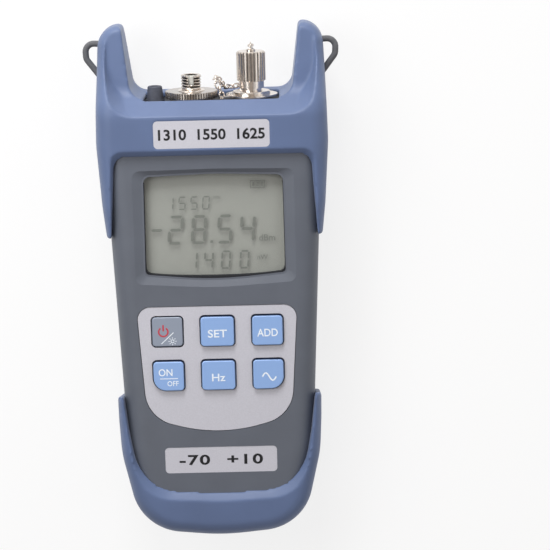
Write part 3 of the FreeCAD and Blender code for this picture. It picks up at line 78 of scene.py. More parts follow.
# the meter port's axis, the radius of its thread, and the thread's front end and shoulder
PORT_X, PORT_Z, PORT_CREST = -7.8 * MM, 20 * MM, 3.95 * MM
PORT_FRONT, PORT_SHOULDER = 81.88 * MM, 76.08 * MM
FILM = 0.05 * MM  # thickness of a lit segment
HAIR = 0.08 * MM  # gap left under the window, so that it doesn't share a face with the glass
FLUTE, NUT_FLUTE = 0.45 * MM, 0.3 * MM  # radii of the flutes on the cap and on the nut
GRIP_LOW = 2.8 * MM  # height of the cap's plain collar, under its fluted grip
SEGMENTS = {
    "0": "abcdef", "1": "bc", "2": "abdeg", "3": "abcdg", "4": "bcfg", "5": "acdfg",
    "6": "acdefg", "7": "abc", "8": "abcdefg", "9": "abcdfg", "-": "g",
}


def linear(code):
    """A #rrggbb colour as linear red, green and blue."""
    values = [int(code[place:place + 2], 16) / 255 for place in (1, 3, 5)]
    return tuple(v / 12.92 if v <= 0.04045 else ((v + 0.055) / 1.055) ** 2.4 for v in values)


def colour(name, description, code):
    return FloatVectorProperty(name=name, description=description, subtype="COLOR",
                               size=3, min=0, max=1, default=linear(code))


def length(name, description, millimetres):
    return FloatProperty(name=name, description=description, unit="LENGTH", precision=5,
                         default=millimetres * MM)


class MeterColours(bpy.types.PropertyGroup):
    """Colours of the meter's finishes."""
    bumper: colour("Bumper", "Soft blue bumper and boot", "#5b6c90")
    case: colour("Case", "Grey moulded shells", "#60656f")
    silver: colour("Silver", "Keypad panel and plates", "#cdcdd6")
    key: colour("Key", "Blue keys", "#8fb0e2")
    # painted shade for the keys' side walls
    key_side_shade: colour("Key side shade", "Painted shade on the sides of the keys", "#24304e")
    power_key: colour("Power key", "Silver power key", "#9099a9")
    legend: colour("Legend", "Print on the keys", "#eef4fb")
    print_dark: colour("Dark print", "Print on the plates", "#17181c")
    red: colour("Red", "Power symbol", "#c23f4c")
    glass: colour("Display", "Liquid crystal background", "#8b8d86")
    digit: colour("Digit", "Liquid crystal segments", "#62665f")
    nickel: colour("Nickel", "Plated ports and cap", "#e8dfd6")
    rubber: colour("Rubber", "Lamp bezel", "#4a4d58")
    loop: colour("Loop", "Strap loops", "#5d5e62")
    # painted shade lining the display opening
    display_shade_colour: colour("Display shade colour", "Black painted shade round the display opening", "#16181f")


class MeterSizes(bpy.types.PropertyGroup):
    """Sizes of what is added to the modelled parts."""
    thread_pitch: length("Thread pitch", "Pitch of the port thread, drawn coarse enough to show", 1.1)
    thread_depth: length("Thread depth", "Depth of the port thread", 0.5)
    slot_width: length("Slot width", "Key slot in the port", 2.15)
    slot_depth: length("Slot depth", "Key slot's length along the port", 3.7)
    grain: length("Grain", "Spark-eroded grain of the case", 0.35)
    print_thick: length("Print thickness", "Thickness of printed legends", 0.04)
    plate_text: length("Plate text", "Height of the print on the plates", 4.1)
    key_text: length("Key text", "Height of the print on the keys", 3.15)
    soften: length("Softening", "Grid on which the soft parts' edges are rounded", 0.6)
    reading: StringProperty(name="Reading", description="Digits of the main reading", default="-28.54")


# ---- node helpers ------------------------------------------------------------

def add_node(tree, kind, settings=None, **links):
    """A node with its settings and the sockets or values that feed it."""
    node = tree.nodes.new(kind)
    for key, value in (settings or {}).items():
        setattr(node, key, value)
    for key, value in links.items():
        socket = node.inputs[int(key[2:]) if key.startswith("at") else key.replace("_", " ")]
        if isinstance(value, bpy.types.NodeSocket):
            tree.links.new(value, socket)
        else:
            socket.default_value = value
    return node


def new_material(name, base, roughness, metallic=0.0, ior=None):
    """A material with its own shader, and its node tree."""
    material = bpy.data.materials.new(name)
    material.use_nodes = True
    tree = material.node_tree
    shader = tree.nodes["Principled BSDF"]
    shader.inputs["Base Color"].default_value = (*base, 1)
    shader.inputs["Roughness"].default_value = roughness
    shader.inputs["Metallic"].default_value = metallic
    if ior:
        shader.inputs["IOR"].default_value = ior
    return material, tree, shader


def place_coordinates(tree):
    return add_node(tree, "ShaderNodeTexCoord").outputs["Object"]


def grain_bump(tree, shader, size, depth, strength=0.6):
    """Fine moulded grain of a given size and depth."""
    noise = add_node(tree, "ShaderNodeTexNoise", Vector=place_coordinates(tree),
                     Scale=1 / size, Detail=2.0, Roughness=0.55)
    bump = add_node(tree, "ShaderNodeBump", Height=noise.outputs["Fac"], Distance=depth,
                    Strength=strength)
    tree.links.new(bump.outputs["Normal"], shader.inputs["Normal"])
    return noise


def mottled(tree, shader, base, size, amount):
    """Slight unevenness of colour over a moulded or painted face."""
    noise = add_node(tree, "ShaderNodeTexNoise", Vector=place_coordinates(tree),
                     Scale=1 / size, Detail=3.0)
    ramp = add_node(tree, "ShaderNodeValToRGB", Fac=noise.outputs["Fac"])
    ramp.color_ramp.elements[0].position = 0.3
    ramp.color_ramp.elements[1].position = 0.7
    ramp.color_ramp.elements[0].color = (*[c * (1 - amount) for c in base], 1)
    ramp.color_ramp.elements[1].color = (*[min(1, c * (1 + amount)) for c in base], 1)
    tree.links.new(ramp.outputs["Color"], shader.inputs["Base Color"])


def uneven_gloss(tree, shader, size, low, high):
    """Roughness that drifts between two values, as handled surfaces do."""
    noise = add_node(tree, "ShaderNodeTexNoise", Vector=place_coordinates(tree),
                     Scale=1 / size, Detail=4.0)
    spread = add_node(tree, "ShaderNodeMapRange", Value=noise.outputs["Fac"])
    spread.inputs["To Min"].default_value = low
    spread.inputs["To Max"].default_value = high
    tree.links.new(spread.outputs["Result"], shader.inputs["Roughness"])


# ---- materials ---------------------------------------------------------------

def soft_touch_tpu(colours):
    # injection-moulded thermoplastic elastomer: soft broad highlights, fine matt grain
    material, tree, shader = new_material("soft touch TPU", colours.bumper, 0.52, ior=1.5)
    mottled(tree, shader, colours.bumper, 18 * MM, 0.05)
    grain_bump(tree, shader, 0.4 * MM, 0.02 * MM)
    shader.inputs["Sheen Weight"].default_value = 0.12
    shader.inputs["Sheen Roughness"].default_value = 0.5
    return material


def textured_abs(colours, sizes):
    # ABS from a spark-eroded mould: even dark grey with a fine glitter of grain
    material, tree, shader = new_material("spark textured ABS", colours.case, 0.5, ior=1.52)
    mottled(tree, shader, colours.case, 12 * MM, 0.04)
    grain_bump(tree, shader, sizes.grain, 0.03 * MM)
    return material


def silver_lacquer(colours):
    # polycarbonate sprayed with silver lacquer: satin, with a very fine metallic fleck
    material, tree, shader = new_material("silver lacquer", colours.silver, 0.38, ior=1.5)
    mottled(tree, shader, colours.silver, 0.5 * MM, 0.04)
    shader.inputs["Metallic"].default_value = 0.15
    uneven_gloss(tree, shader, 9 * MM, 0.34, 0.44)
    return material


def key_polycarbonate(base, side, name):
    # key cap lacquered on its top face: semi-gloss, with a dark painted shade on its sides, where the face
    # turns away from the front
    material, tree, shader = new_material(name, base, 0.34, ior=1.55)
    normal = add_node(tree, "ShaderNodeTexCoord").outputs["Normal"]
    facing = add_node(tree, "ShaderNodeSeparateXYZ", Vector=normal)
    # the side colour is painted shade, faded in as the face turns away from the front
    top = add_node(tree, "ShaderNodeMapRange", Value=facing.outputs["Z"])
    top.inputs["From Min"].default_value = 0.15
    top.inputs["From Max"].default_value = 0.6
    mix = add_node(tree, "ShaderNodeMix", {"data_type": "RGBA"}, Factor=top.outputs["Result"])
    mix.inputs["A"].default_value = (*side, 1)
    mix.inputs["B"].default_value = (*base, 1)
    tree.links.new(mix.outputs["Result"], shader.inputs["Base Color"])
    uneven_gloss(tree, shader, 5 * MM, 0.3, 0.42)
    return material


def nickel_plate(colours):
    # bright nickel over turned brass: warm mirror-like metal with faint turning marks
    material, tree, shader = new_material("nickel plate", colours.nickel, 0.2, metallic=1.0)
    wave = add_node(tree, "ShaderNodeTexWave", {"bands_direction": "Y"},
                    Vector=place_coordinates(tree), Scale=1 / (0.5 * MM * 6.28), Distortion=1.5, Detail=2.0)
    bump = add_node(tree, "ShaderNodeBump", Height=wave.outputs["Fac"], Distance=0.004 * MM, Strength=0.4)
    tree.links.new(bump.outputs["Normal"], shader.inputs["Normal"])
    uneven_gloss(tree, shader, 2 * MM, 0.14, 0.28)
    return material


def grooved_nickel(name, base, shade, axis_x, groove, crest, low, high):
    # nickel over cut grooves, from low to high along the ports: bright crests, with painted shade darkening
    # the grooves
    material, tree, shader = new_material(name, base, 0.24, metallic=1.0)
    place = add_node(tree, "ShaderNodeVectorMath", {"operation": "SUBTRACT"}, at0=place_coordinates(tree),
                     at1=(axis_x, 0, PORT_Z))
    split = add_node(tree, "ShaderNodeSeparateXYZ", Vector=place.outputs["Vector"])
    across = add_node(tree, "ShaderNodeCombineXYZ", X=split.outputs["X"], Z=split.outputs["Z"])
    reach = add_node(tree, "ShaderNodeVectorMath", {"operation": "LENGTH"}, at0=across.outputs["Vector"])
    raised = add_node(tree, "ShaderNodeMapRange", Value=reach.outputs["Value"])
    raised.inputs["From Min"].default_value = groove
    raised.inputs["From Max"].default_value = crest
    front = add_node(tree, "ShaderNodeMath", {"operation": "GREATER_THAN"}, at0=split.outputs["Y"],
                     at1=high)
    foot = add_node(tree, "ShaderNodeMath", {"operation": "LESS_THAN"}, at0=split.outputs["Y"], at1=low)
    ends = add_node(tree, "ShaderNodeMath", {"operation": "MAXIMUM"}, at0=front.outputs[0],
                    at1=foot.outputs[0])
    bright = add_node(tree, "ShaderNodeMath", {"operation": "MAXIMUM"}, at0=raised.outputs["Result"],
                      at1=ends.outputs[0])
    # the shade colour is painted shade, laid where the surface sinks from crest to groove
    mix = add_node(tree, "ShaderNodeMix", {"data_type": "RGBA"}, Factor=bright.outputs[0])
    mix.inputs["A"].default_value = (*linear(shade), 1)
    mix.inputs["B"].default_value = (*base, 1)
    tree.links.new(mix.outputs["Result"], shader.inputs["Base Color"])
    uneven_gloss(tree, shader, 2 * MM, 0.18, 0.3)
    return material


def fluted_nickel(name, base, node, flute, grip_low):
    """Nickel for a round CAD node with flutes of a given radius, painted darker in the flutes as painted
    shade from a height above its foot.
    """
    low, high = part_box(node)
    radius = (high[0] - low[0]) / 2
    # the colour #4e4743 is painted shade for the flutes
    return grooved_nickel(name, base, "#4e4743", middle_of(node)[0], radius - 0.98 * flute,
                          radius - 0.58 * flute, low[1] + grip_low, high[1] - 0.3 * MM)


def zinc_steel():
    # plated pressed steel: bluish grey, satin
    material, tree, shader = new_material("zinc plated steel", linear("#b9bbbd"), 0.35, metallic=1.0)
    uneven_gloss(tree, shader, 1.5 * MM, 0.28, 0.45)
    return material


def matt_rubber(base, name):
    # moulded synthetic rubber: dark, dull, slightly dusty
    material, tree, shader = new_material(name, base, 0.72, ior=1.5)
    mottled(tree, shader, base, 1.5 * MM, 0.12)
    grain_bump(tree, shader, 0.25 * MM, 0.02 * MM)
    return material


def black_plastic():
    # black ABS: deep matt with fine grain
    material, tree, shader = new_material("black ABS", linear("#15161a"), 0.55, ior=1.5)
    grain_bump(tree, shader, 0.3 * MM, 0.02 * MM)
    uneven_gloss(tree, shader, 4 * MM, 0.48, 0.62)
    return material


def clear_acrylic():
    # cast acrylic window: almost invisible, with a soft reflection
    material, tree, shader = new_material("clear acrylic", linear("#dfe3de"), 0.06, ior=1.49)
    uneven_gloss(tree, shader, 14 * MM, 0.05, 0.12)
    shader.inputs["Alpha"].default_value = 0.12
    return material


def crystal_glass(colours):
    # reflective liquid crystal behind its polariser: green-grey, finely mottled, silky
    material, tree, shader = new_material("liquid crystal glass", colours.glass, 0.4, ior=1.5)
    mottled(tree, shader, colours.glass, 20 * MM, 0.03)
    uneven_gloss(tree, shader, 8 * MM, 0.35, 0.5)
    return material


def flat_ink(base, name, roughness=0.5):
    # screen printing ink: flat colour with a slightly uneven film
    material, tree, shader = new_material(name, base, roughness, ior=1.5)
    mottled(tree, shader, base, 0.8 * MM, 0.06)
    return material


def board_mask():
    # glass-epoxy board under green solder mask: faint weave and gloss
    material, tree, shader = new_material("solder mask", linear("#1c5a34"), 0.3, ior=1.5)
    mottled(tree, shader, linear("#1c5a34"), 3 * MM, 0.15)
    grain_bump(tree, shader, 0.5 * MM, 0.02 * MM)
    return material


def cell_jacket():
    # printed shrink film round a cell: dark body with a copper-coloured top band
    material, tree, shader = new_material("cell jacket", linear("#22252c"), 0.3, ior=1.5)
    split = add_node(tree, "ShaderNodeSeparateXYZ", Vector=place_coordinates(tree))
    band = add_node(tree, "ShaderNodeMath", {"operation": "GREATER_THAN"}, at0=split.outputs["Y"],
                    at1=-33 * MM)
    mix = add_node(tree, "ShaderNodeMix", {"data_type": "RGBA"}, Factor=band.outputs[0])
    mix.inputs["A"].default_value = (*linear("#22252c"), 1)
    mix.inputs["B"].default_value = (*linear("#a8703f"), 1)
    tree.links.new(mix.outputs["Result"], shader.inputs["Base Color"])
    return material


def turned_brass():
    # bare turned brass: yellow metal with fine rings
    material, tree, shader = new_material("turned brass", linear("#c8a45c"), 0.28, metallic=1.0)
    uneven_gloss(tree, shader, 1 * MM, 0.22, 0.36)
    return material


def polished_ceramic():
    # zirconia sleeve: dense white, polished
    material, tree, shader = new_material("polished zirconia", linear("#f0efe8"), 0.12, ior=2.1)
    mottled(tree, shader, linear("#f0efe8"), 1 * MM, 0.02)
    return material


def lamp_epoxy():
    # clear epoxy lamp body: glassy dome
    material, tree, shader = new_material("clear epoxy", linear("#dfe4ee"), 0.08, ior=1.55)
    uneven_gloss(tree, shader, 1 * MM, 0.06, 0.14)
    shader.inputs["Alpha"].default_value = 0.6
    return material


def label_film():
    # bare matt polyester label
    material, tree, shader = new_material("label film", linear("#d9dadb"), 0.6, ior=1.5)
    mottled(tree, shader, linear("#d9dadb"), 6 * MM, 0.02)
    return material


# ---- modelling helpers -------------------------------------------------------

def deselect():
    if bpy.context.object and bpy.context.object.mode != "OBJECT":
        bpy.ops.object.mode_set(mode="OBJECT")
    bpy.ops.object.select_all(action="DESELECT")


def pick(*pieces):
    """Selects only these pieces, the first one active."""
    deselect()
    for piece in pieces:
        piece.select_set(True)
    bpy.context.view_layer.objects.active = pieces[0]
    return pieces[0]


def settled(piece):
    """Puts the piece's place into its mesh and its object at the origin."""
    pick(piece)
    bpy.ops.object.transform_apply(location=True, rotation=True, scale=True)
    return piece


def joined(name, pieces):
    """One piece from several."""
    pick(*pieces)
    if len(pieces) > 1:
        bpy.ops.object.join()
    piece = bpy.context.object
    piece.name = piece.data.name = name
    return settled(piece)


def finish_piece(piece, material, body="root"):
    """Gives a piece its material and the body it rides on."""
    piece.data.materials.clear()
    piece.data.materials.append(material)
    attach(piece, body)
    return piece


def flat_shape(name, points, low, high):
    """A thin slab through points in the XY plane, between two heights."""
    deselect()
    bpy.ops.mesh.primitive_circle_add(vertices=len(points), radius=MM, fill_type="NGON")
    piece = bpy.context.object
    piece.name = piece.data.name = name
    for vertex, (x, y) in zip(piece.data.vertices, points):
        vertex.co = (x, y, low)
    bpy.ops.object.mode_set(mode="EDIT")
    bpy.ops.mesh.select_all(action="SELECT")
    bpy.ops.mesh.extrude_region_move(TRANSFORM_OT_translate={"value": (0, 0, high - low)})
    bpy.ops.mesh.select_all(action="SELECT")
    bpy.ops.mesh.normals_make_consistent(inside=False)
    bpy.ops.object.mode_set(mode="OBJECT")
    return piece


CAPITAL = 0.729  # height of a capital in the built-in font, for a size of 1


def lettering(name, text, height, x, y, low, thick, bold=0.0, spacing=1.0, width=None):
    """Raised print centred on x and y, squeezed to a width if one is given."""
    deselect()
    bpy.ops.object.text_add(location=(0, 0, 0))
    piece = bpy.context.object
    piece.data.body = text
    piece.data.size = height / CAPITAL
    piece.data.space_character = spacing
    piece.data.offset = bold * height
    piece.data.extrude = thick / 2
    piece.data.resolution_u = 4
    bpy.ops.object.convert(target="MESH")
    piece = bpy.context.object
    corners = [Vector(corner) for corner in piece.bound_box]
    middle = (corners[0] + corners[6]) / 2
    squeeze = width / (corners[6].x - corners[0].x) if width else 1
    piece.scale = (squeeze, 1, 1)
    piece.location = (x - middle.x * squeeze, y - middle.y, low + thick / 2)
    piece.name = piece.data.name = name
    return settled(piece)


def stroke(name, points, width, low, high):
    """A line of even width drawn through points, as one slab."""
    points = [Vector(point) for point in points]
    left, right = [], []
    for index, point in enumerate(points):
        before = (point - points[max(index - 1, 0)]).normalized()
        after = (points[min(index + 1, len(points) - 1)] - point).normalized()
        run = (before + after).normalized()
        reach = width / 2 / max(0.5, run.dot(after if index < len(points) - 1 else before))
        side = Vector((-run.y, run.x)) * reach
        left.append(tuple(point + side))
        right.append(tuple(point - side))
    return flat_shape(name, left + right[::-1], low, high)


def ring_points(x, y, radius, start, end, count):
    """Points on an arc, its angles in degrees."""
    step = (end - start) / count
    angles = [math.radians(start + step * index) for index in range(count + 1)]
    return [(x + radius * math.cos(angle), y + radius * math.sin(angle)) for angle in angles]


def copy_of(node, name):
    """A merged copy of a CAD part, at the origin."""
    pick(NODES[node])
    bpy.ops.object.duplicate()
    piece = bpy.context.object
    bpy.ops.object.parent_clear(type="CLEAR_KEEP_TRANSFORM")
    piece.name = piece.data.name = name
    settled(piece)
    bpy.ops.object.mode_set(mode="EDIT")
    bpy.ops.mesh.select_all(action="SELECT")
    bpy.ops.mesh.remove_doubles(threshold=0.001 * MM)
    bpy.ops.mesh.normals_make_consistent(inside=False)
    bpy.ops.object.mode_set(mode="OBJECT")
    return piece


def dress(material, *names):
    """Puts one material on CAD nodes."""
    for name in names:
        slots = NODES[name].data.materials
        slots.clear()
        slots.append(material)


def top_of(node):
    """The front face's height of a CAD node, in metres."""
    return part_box(node)[1][2]


def middle_of(node):
    low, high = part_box(node)
    return (low[0] + high[0]) / 2, (low[1] + high[1]) / 2


# ---- pieces ------------------------------------------------------------------

class METER_OT_finishes(bpy.types.Operator):
    """Give every modelled part its finish"""
    bl_idname = "meter.finishes"
    bl_label = "Finishes"

    def execute(self, context):
        colours, sizes = context.scene.meter_colours, context.scene.meter_sizes
        case = textured_abs(colours, sizes)
        acrylic = clear_acrylic()
        key = key_polycarbonate(colours.key, colours.key_side_shade, "blue polycarbonate")
        black = black_plastic()
        steel = zinc_steel()
        nickel = nickel_plate(colours)
        # the nut's nickel is painted two thirds as bright as the ports', as painted shade for the duller
        # light off its fine flutes
        nut_shaded_nickel = tuple(value * 0.66 for value in colours.nickel)
        brass = turned_brass()
        silver = silver_lacquer(colours)
        clear = lamp_epoxy()
        loops = matt_rubber(colours.loop, "grey nylon")
        for material, names in (
            (soft_touch_tpu(colours), "top_bumper bottom_boot"),
            (case, "front_shell rear_shell battery_door"),
            (silver, "keypad_panel upper_plate lower_plate"),
            (key, "key_reference key_store key_light key_unit key_wavelength"),
            (key_polycarbonate(colours.power_key, colours.key_side_shade, "silver polycarbonate"), "key_power"),
            (acrylic, "display_window"),
            (crystal_glass(colours), "lcd_panel"),
            (black, "lcd_frame end_plate buzzer processor small_chips"),
            (matt_rubber(linear("#202226"), "zebra rubber"), "lcd_connectors"),
            (flat_ink(linear("#eeefe8"), "white acrylic"), "backlight"),
            (board_mask(), "main_board"),
            (cell_jacket(), "battery_1 battery_2 battery_3"),
            (steel, "key_switches board_screws case_screws contact_plates contact_springs"),
            (fluted_nickel("knurled nickel", nut_shaded_nickel, "adapter_nut", NUT_FLUTE, NUT_FLUTE), "adapter_nut"),
            (fluted_nickel("fluted nickel", colours.nickel, "dust_cap", FLUTE, GRIP_LOW), "dust_cap"),
            (nickel, "meter_barrel chain_washer source_nut source_port cap_swivel cap_chain"),
            (brass, "detector_mount photodiode laser_module"),
            (polished_ceramic(), "ferrule_sleeve"),
            (matt_rubber(colours.rubber, "moulded rubber"), "lamp_bezel"),
            (clear, "lamp_led"),
            (label_film(), "rear_label"),
            (loops, "strap_loop_left strap_loop_right"),
        ):
            dress(material, *names.split())
        bare = [name for name, node in NODES.items() if not node.data.materials]
        if bare:
            raise RuntimeError(f"no finish on {bare}")
        return {"FINISHED"}


# the studio from left to right: pale screens with dark gaps between them, warm overhead
STUDIO = ((0.02, "#4a4b4e"), (0.12, "#55565a"), (0.22, "#dcdcde"), (0.34, "#8c8885"), (0.5, "#a3998f"),
          (0.58, "#aa9e96"), (0.64, "#363536"), (0.7, "#ececee"), (0.8, "#b8b8ba"), (0.87, "#2c2d30"),
          (0.98, "#56575a"))


def digit_segments(character, height, width, thick):
    """Outlines of the lit bars of one seven-segment figure, from its lower left corner."""
    half, gap = thick / 2, thick * 0.14
    middle = height / 2

    def lying(y, up, down):
        # a flat bar whose ends are mitred
        return [(gap + half, y), (gap + thick, y - down), (width - gap - thick, y - down),
                (width - gap - half, y), (width - gap - thick, y + up), (gap + thick, y + up)]

    def standing(x, low, high):
        return [(x, low + gap + half * 0.4), (x + half, low + gap + half * 1.4),
                (x + half, high - gap - half * 1.4), (x, high - gap - half * 0.4),
                (x - half, high - gap - half * 1.4), (x - half, low + gap + half * 1.4)]

    bars = {
        "a": lying(height - half, half, half), "g": lying(middle, half, half), "d": lying(half, half, half),
        "b": standing(width - half, middle, height - half), "c": standing(width - half, half, middle),
        "e": standing(half, half, middle), "f": standing(half, middle, height - half),
    }
    return [bars[letter] for letter in SEGMENTS[character]]


def lit_row(name, text, centres, base, height, width, thick, low):
    """A row of figures on the display, slanted as they are etched."""
    slant = math.tan(math.radians(5))
    pieces = []
    for place, (character, centre) in enumerate(zip(text, centres)):
        for index, bar in enumerate(digit_segments(character, height, width, thick)):
            points = [(centre - width / 2 + x + y * slant, base + y) for x, y in bar]
            pieces.append(flat_shape(f"{name}_{place}_{index}", points, low, low + FILM))
    return pieces


class METER_OT_display(bpy.types.Operator):
    """Lay the lit segments on the display and its clear window over the glass"""
    bl_idname = "meter.display"
    bl_label = "Display"

    def execute(self, context):
        colours, sizes = context.scene.meter_colours, context.scene.meter_sizes
        ink = flat_ink(colours.digit, "lit liquid crystal", 0.5)
        low = top_of("display_window") + 0.01 * MM
        # name, text, middle of each figure, foot, height, width and thickness of the figures, in mm
        rows = (
            ("reading", sizes.reading.replace(".", ""), (-22.9, -15.6, -6.6, 3.4, 12.2),
             17.4, 11.5, 5.9, 1.15),
            ("wavelength", "1550", (-17.2, -12.5, -7.9, -3.3), 31.0, 5.3, 2.9, 0.5),
            ("power", "1400", (-9.2, -3.0, 3.7, 10.9), 7.3, 7.4, 3.8, 0.75),
        )
        pieces = []
        for name, text, centres, base, height, width, thick in rows:
            pieces += lit_row(name, text, [c * MM for c in centres], base * MM, height * MM,
                              width * MM, thick * MM, low)
        pieces.append(flat_shape("point", [(-1.9 * MM, 17.8 * MM), (-0.8 * MM, 17.8 * MM),
                                           (-0.7 * MM, 18.9 * MM), (-1.8 * MM, 18.9 * MM)],
                                 low, low + FILM))
        for name, text, height, x, y in (("unit", "dBm", 2.6, 20.2, 19.5), ("nano", "nm", 1.6, 1.0, 35.6),
                                         ("nano_watt", "nW", 2.0, 18.3, 11.8)):
            pieces.append(lettering(name, text, height * MM, x * MM, y * MM, low, FILM, bold=0.01))
        frame_line = [(14.3, 40.8), (14.3, 39.2), (19.7, 39.2), (19.7, 41.9), (14.3, 41.9), (14.3, 41.0)]
        pieces.append(stroke("cell", [(x * MM, y * MM) for x, y in frame_line], 0.35 * MM, low, low + FILM))
        for x in (15.4, 17.0, 18.6):
            pieces.append(stroke(f"bar_{x}", [(x * MM, 39.8 * MM), (x * MM, 41.3 * MM)], 0.8 * MM, low,
                                 low + FILM))
        segments = joined("display_segments", pieces)
        finish_piece(segments, ink)
        self.clear_window()
        return {"FINISHED"}


    def clear_window(self):
        """A window that stands a hair's breadth clear of the glass under it."""
        piece = copy_of("display_window", "clear_window")
        middle = sum(corner[2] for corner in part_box("display_window")) / 2
        pick(piece)
        for vertex in piece.data.vertices:
            vertex.select = vertex.co.z < middle
        bpy.ops.object.mode_set(mode="EDIT")
        bpy.ops.mesh.select_mode(type="VERT")
        bpy.ops.transform.translate(value=(0, 0, HAIR))
        bpy.ops.object.mode_set(mode="OBJECT")
        bpy.ops.object.shade_smooth_by_angle(angle=math.radians(30))
        finish_piece(piece, bpy.data.materials["clear acrylic"])
        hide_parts("display_window")


class METER_OT_display_shade(bpy.types.Operator):
    """Line the display opening's side and lower walls in black, as painted shade"""
    bl_idname = "meter.gaskets"
    bl_label = "Display shade"

    def execute(self, context):
        rubber = matt_rubber(context.scene.meter_colours.display_shade_colour, "black painted shade lining")
        # right half of the opening's wall and of the dark lining's inner edge, from the top down to the
        # middle
        wall = [(26.83, 42), (27.12, 10), (27.05, 7.7), (26.65, 6.75), (25.7, 6.24), (16, 5.26), (13, 4.97),
                (10, 4.73), (5, 4.47), (0, 4.38)]
        edge = [(26.6, 42), (26.88, 10), (26.75, 8.1), (26.3, 7.1), (25.3, 6.42), (20, 5.84), (14.5, 5.47),
                (7, 5.24), (0, 5.17)]
        around = wall + [(-x, y) for x, y in wall[-2::-1]] + [(-x, y) for x, y in edge] + edge[-2::-1]
        low = top_of("display_window")
        # a dark lining over the sides and the bottom of the opening, open at the top: painted shade
        piece = flat_shape("display_shade_lining", [(x * MM, y * MM) for x, y in around], low, low + 2.4 * MM)
        finish_piece(piece, rubber)
        return {"FINISHED"}


class METER_OT_legends(bpy.types.Operator):
    """Print the legends on keys and plates"""
    bl_idname = "meter.legends"
    bl_label = "Legends"

    def execute(self, context):
        colours, sizes = context.scene.meter_colours, context.scene.meter_sizes
        white = flat_ink(colours.legend, "white pad print", 0.45)
        dark = flat_ink(colours.print_dark, "dark pad print", 0.5)
        red = flat_ink(colours.red, "red pad print", 0.45)
        thick, tall = sizes.print_thick, sizes.key_text

        def on_key(name, node, pieces, material):
            piece = joined(name, pieces)
            finish_piece(piece, material, f"{node}_body")

        def spot(node, x=0.0, y=0.0):
            centre = middle_of(node)
            return centre[0] + x * MM, centre[1] + y * MM

        for node, text, name, width in (("key_reference", "SET", "legend_set", 7.4),
                                        ("key_store", "ADD", "legend_add", 8.0),
                                        ("key_unit", "Hz", "legend_hz", 5.2)):
            x, y = spot(node, 0, -0.8)
            word = lettering(name, text, tall, x, y, top_of(node), thick, bold=0.015, width=width * MM)
            on_key(name, node, [word], white)
        node = "key_light"
        low = top_of(node)
        x, y = spot(node)
        on_key("legend_light", node, [
            lettering("on", "ON", 2.9 * MM, x - 1.2 * MM, y + 1.6 * MM, low, thick, bold=0.012,
                      width=5.4 * MM),
            lettering("off", "OFF", 2.1 * MM, x + 1.6 * MM, y - 2.9 * MM, low, thick, bold=0.006,
                      width=4.4 * MM),
            stroke("between", [(x - 3.4 * MM, y - 0.9 * MM), (x + 3.6 * MM, y - 0.9 * MM)], 0.3 * MM,
                   low, low + thick)], white)
        node = "key_wavelength"
        low = top_of(node)
        x, y = spot(node, 0.3, -0.9)
        half, tallness, steps = 2.7 * MM, 1.5 * MM, 32
        wave = [(x + half * (2 * step / steps - 1), y + tallness * math.sin(2 * math.pi * step / steps))
                for step in range(steps + 1)]
        on_key("legend_wave", node, [stroke("wave", wave, 0.55 * MM, low, low + thick)], white)
        node = "key_power"
        low = top_of(node)
        x, y = spot(node, -1.6, 0)
        arc = ring_points(x, y, 1.8 * MM, 125, 415, 22)
        on_key("legend_power", node, [
            stroke("ring", arc, 0.6 * MM, low, low + thick),
            stroke("bar", [(x, y + 0.3 * MM), (x, y + 2.8 * MM)], 0.6 * MM, low, low + thick)], red)
        x, y = spot(node, 1.9, -3.8)
        rays = []
        for index in range(8):
            angle = math.radians(45 * index)
            ray = Vector((math.cos(angle), math.sin(angle)))
            start, end = ray * 1.1 * MM, ray * 1.6 * MM
            rays.append(stroke(f"ray_{index}", [(x + start.x, y + start.y), (x + end.x, y + end.y)],
                               0.26 * MM, low, low + thick))
        middle = spot(node)
        on_key("legend_sun", node, rays + [
            stroke("disc", ring_points(x, y, 0.62 * MM, 0, 345, 16), 0.26 * MM, low, low + thick),
            stroke("slash", [(middle[0] - 2.5 * MM, middle[1] - 4.8 * MM),
                             (middle[0] + 2.4 * MM, middle[1] - 0.3 * MM)], 0.3 * MM,
                   low, low + thick)], white)
        for node, text, spacing, width in (("upper_plate", "1310  1550  1625", 1.0, 40.6),
                                           ("lower_plate", "-70  +10", 1.15, 33)):
            x, y = middle_of(node)
            piece = lettering(f"{node}_print", text, sizes.plate_text, x, y, top_of(node), thick,
                              bold=0.034, spacing=spacing, width=width * MM)
            finish_piece(piece, dark)
        return {"FINISHED"}


class METER_OT_soft_parts(bpy.types.Operator):
    """Round off the moulded edges of the soft bumper and boot"""
    bl_idname = "meter.soft_parts"
    bl_label = "Soft parts"

    def execute(self, context):
        grid = context.scene.meter_sizes.soften
        for node, name in (("top_bumper", "soft_bumper"), ("bottom_boot", "soft_boot")):
            piece = copy_of(node, name)
            remesh = piece.modifiers.new("even", "REMESH")
            remesh.mode = "VOXEL"
            remesh.voxel_size = grid
            bpy.ops.object.modifier_apply(modifier=remesh.name)
            smooth = piece.modifiers.new("soft", "SMOOTH")
            smooth.factor = 0.5
            smooth.iterations = 5
            bpy.ops.object.modifier_apply(modifier=smooth.name)
            bpy.ops.object.shade_smooth()
            finish_piece(piece, bpy.data.materials["soft touch TPU"])
            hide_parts(node)
        return {"FINISHED"}


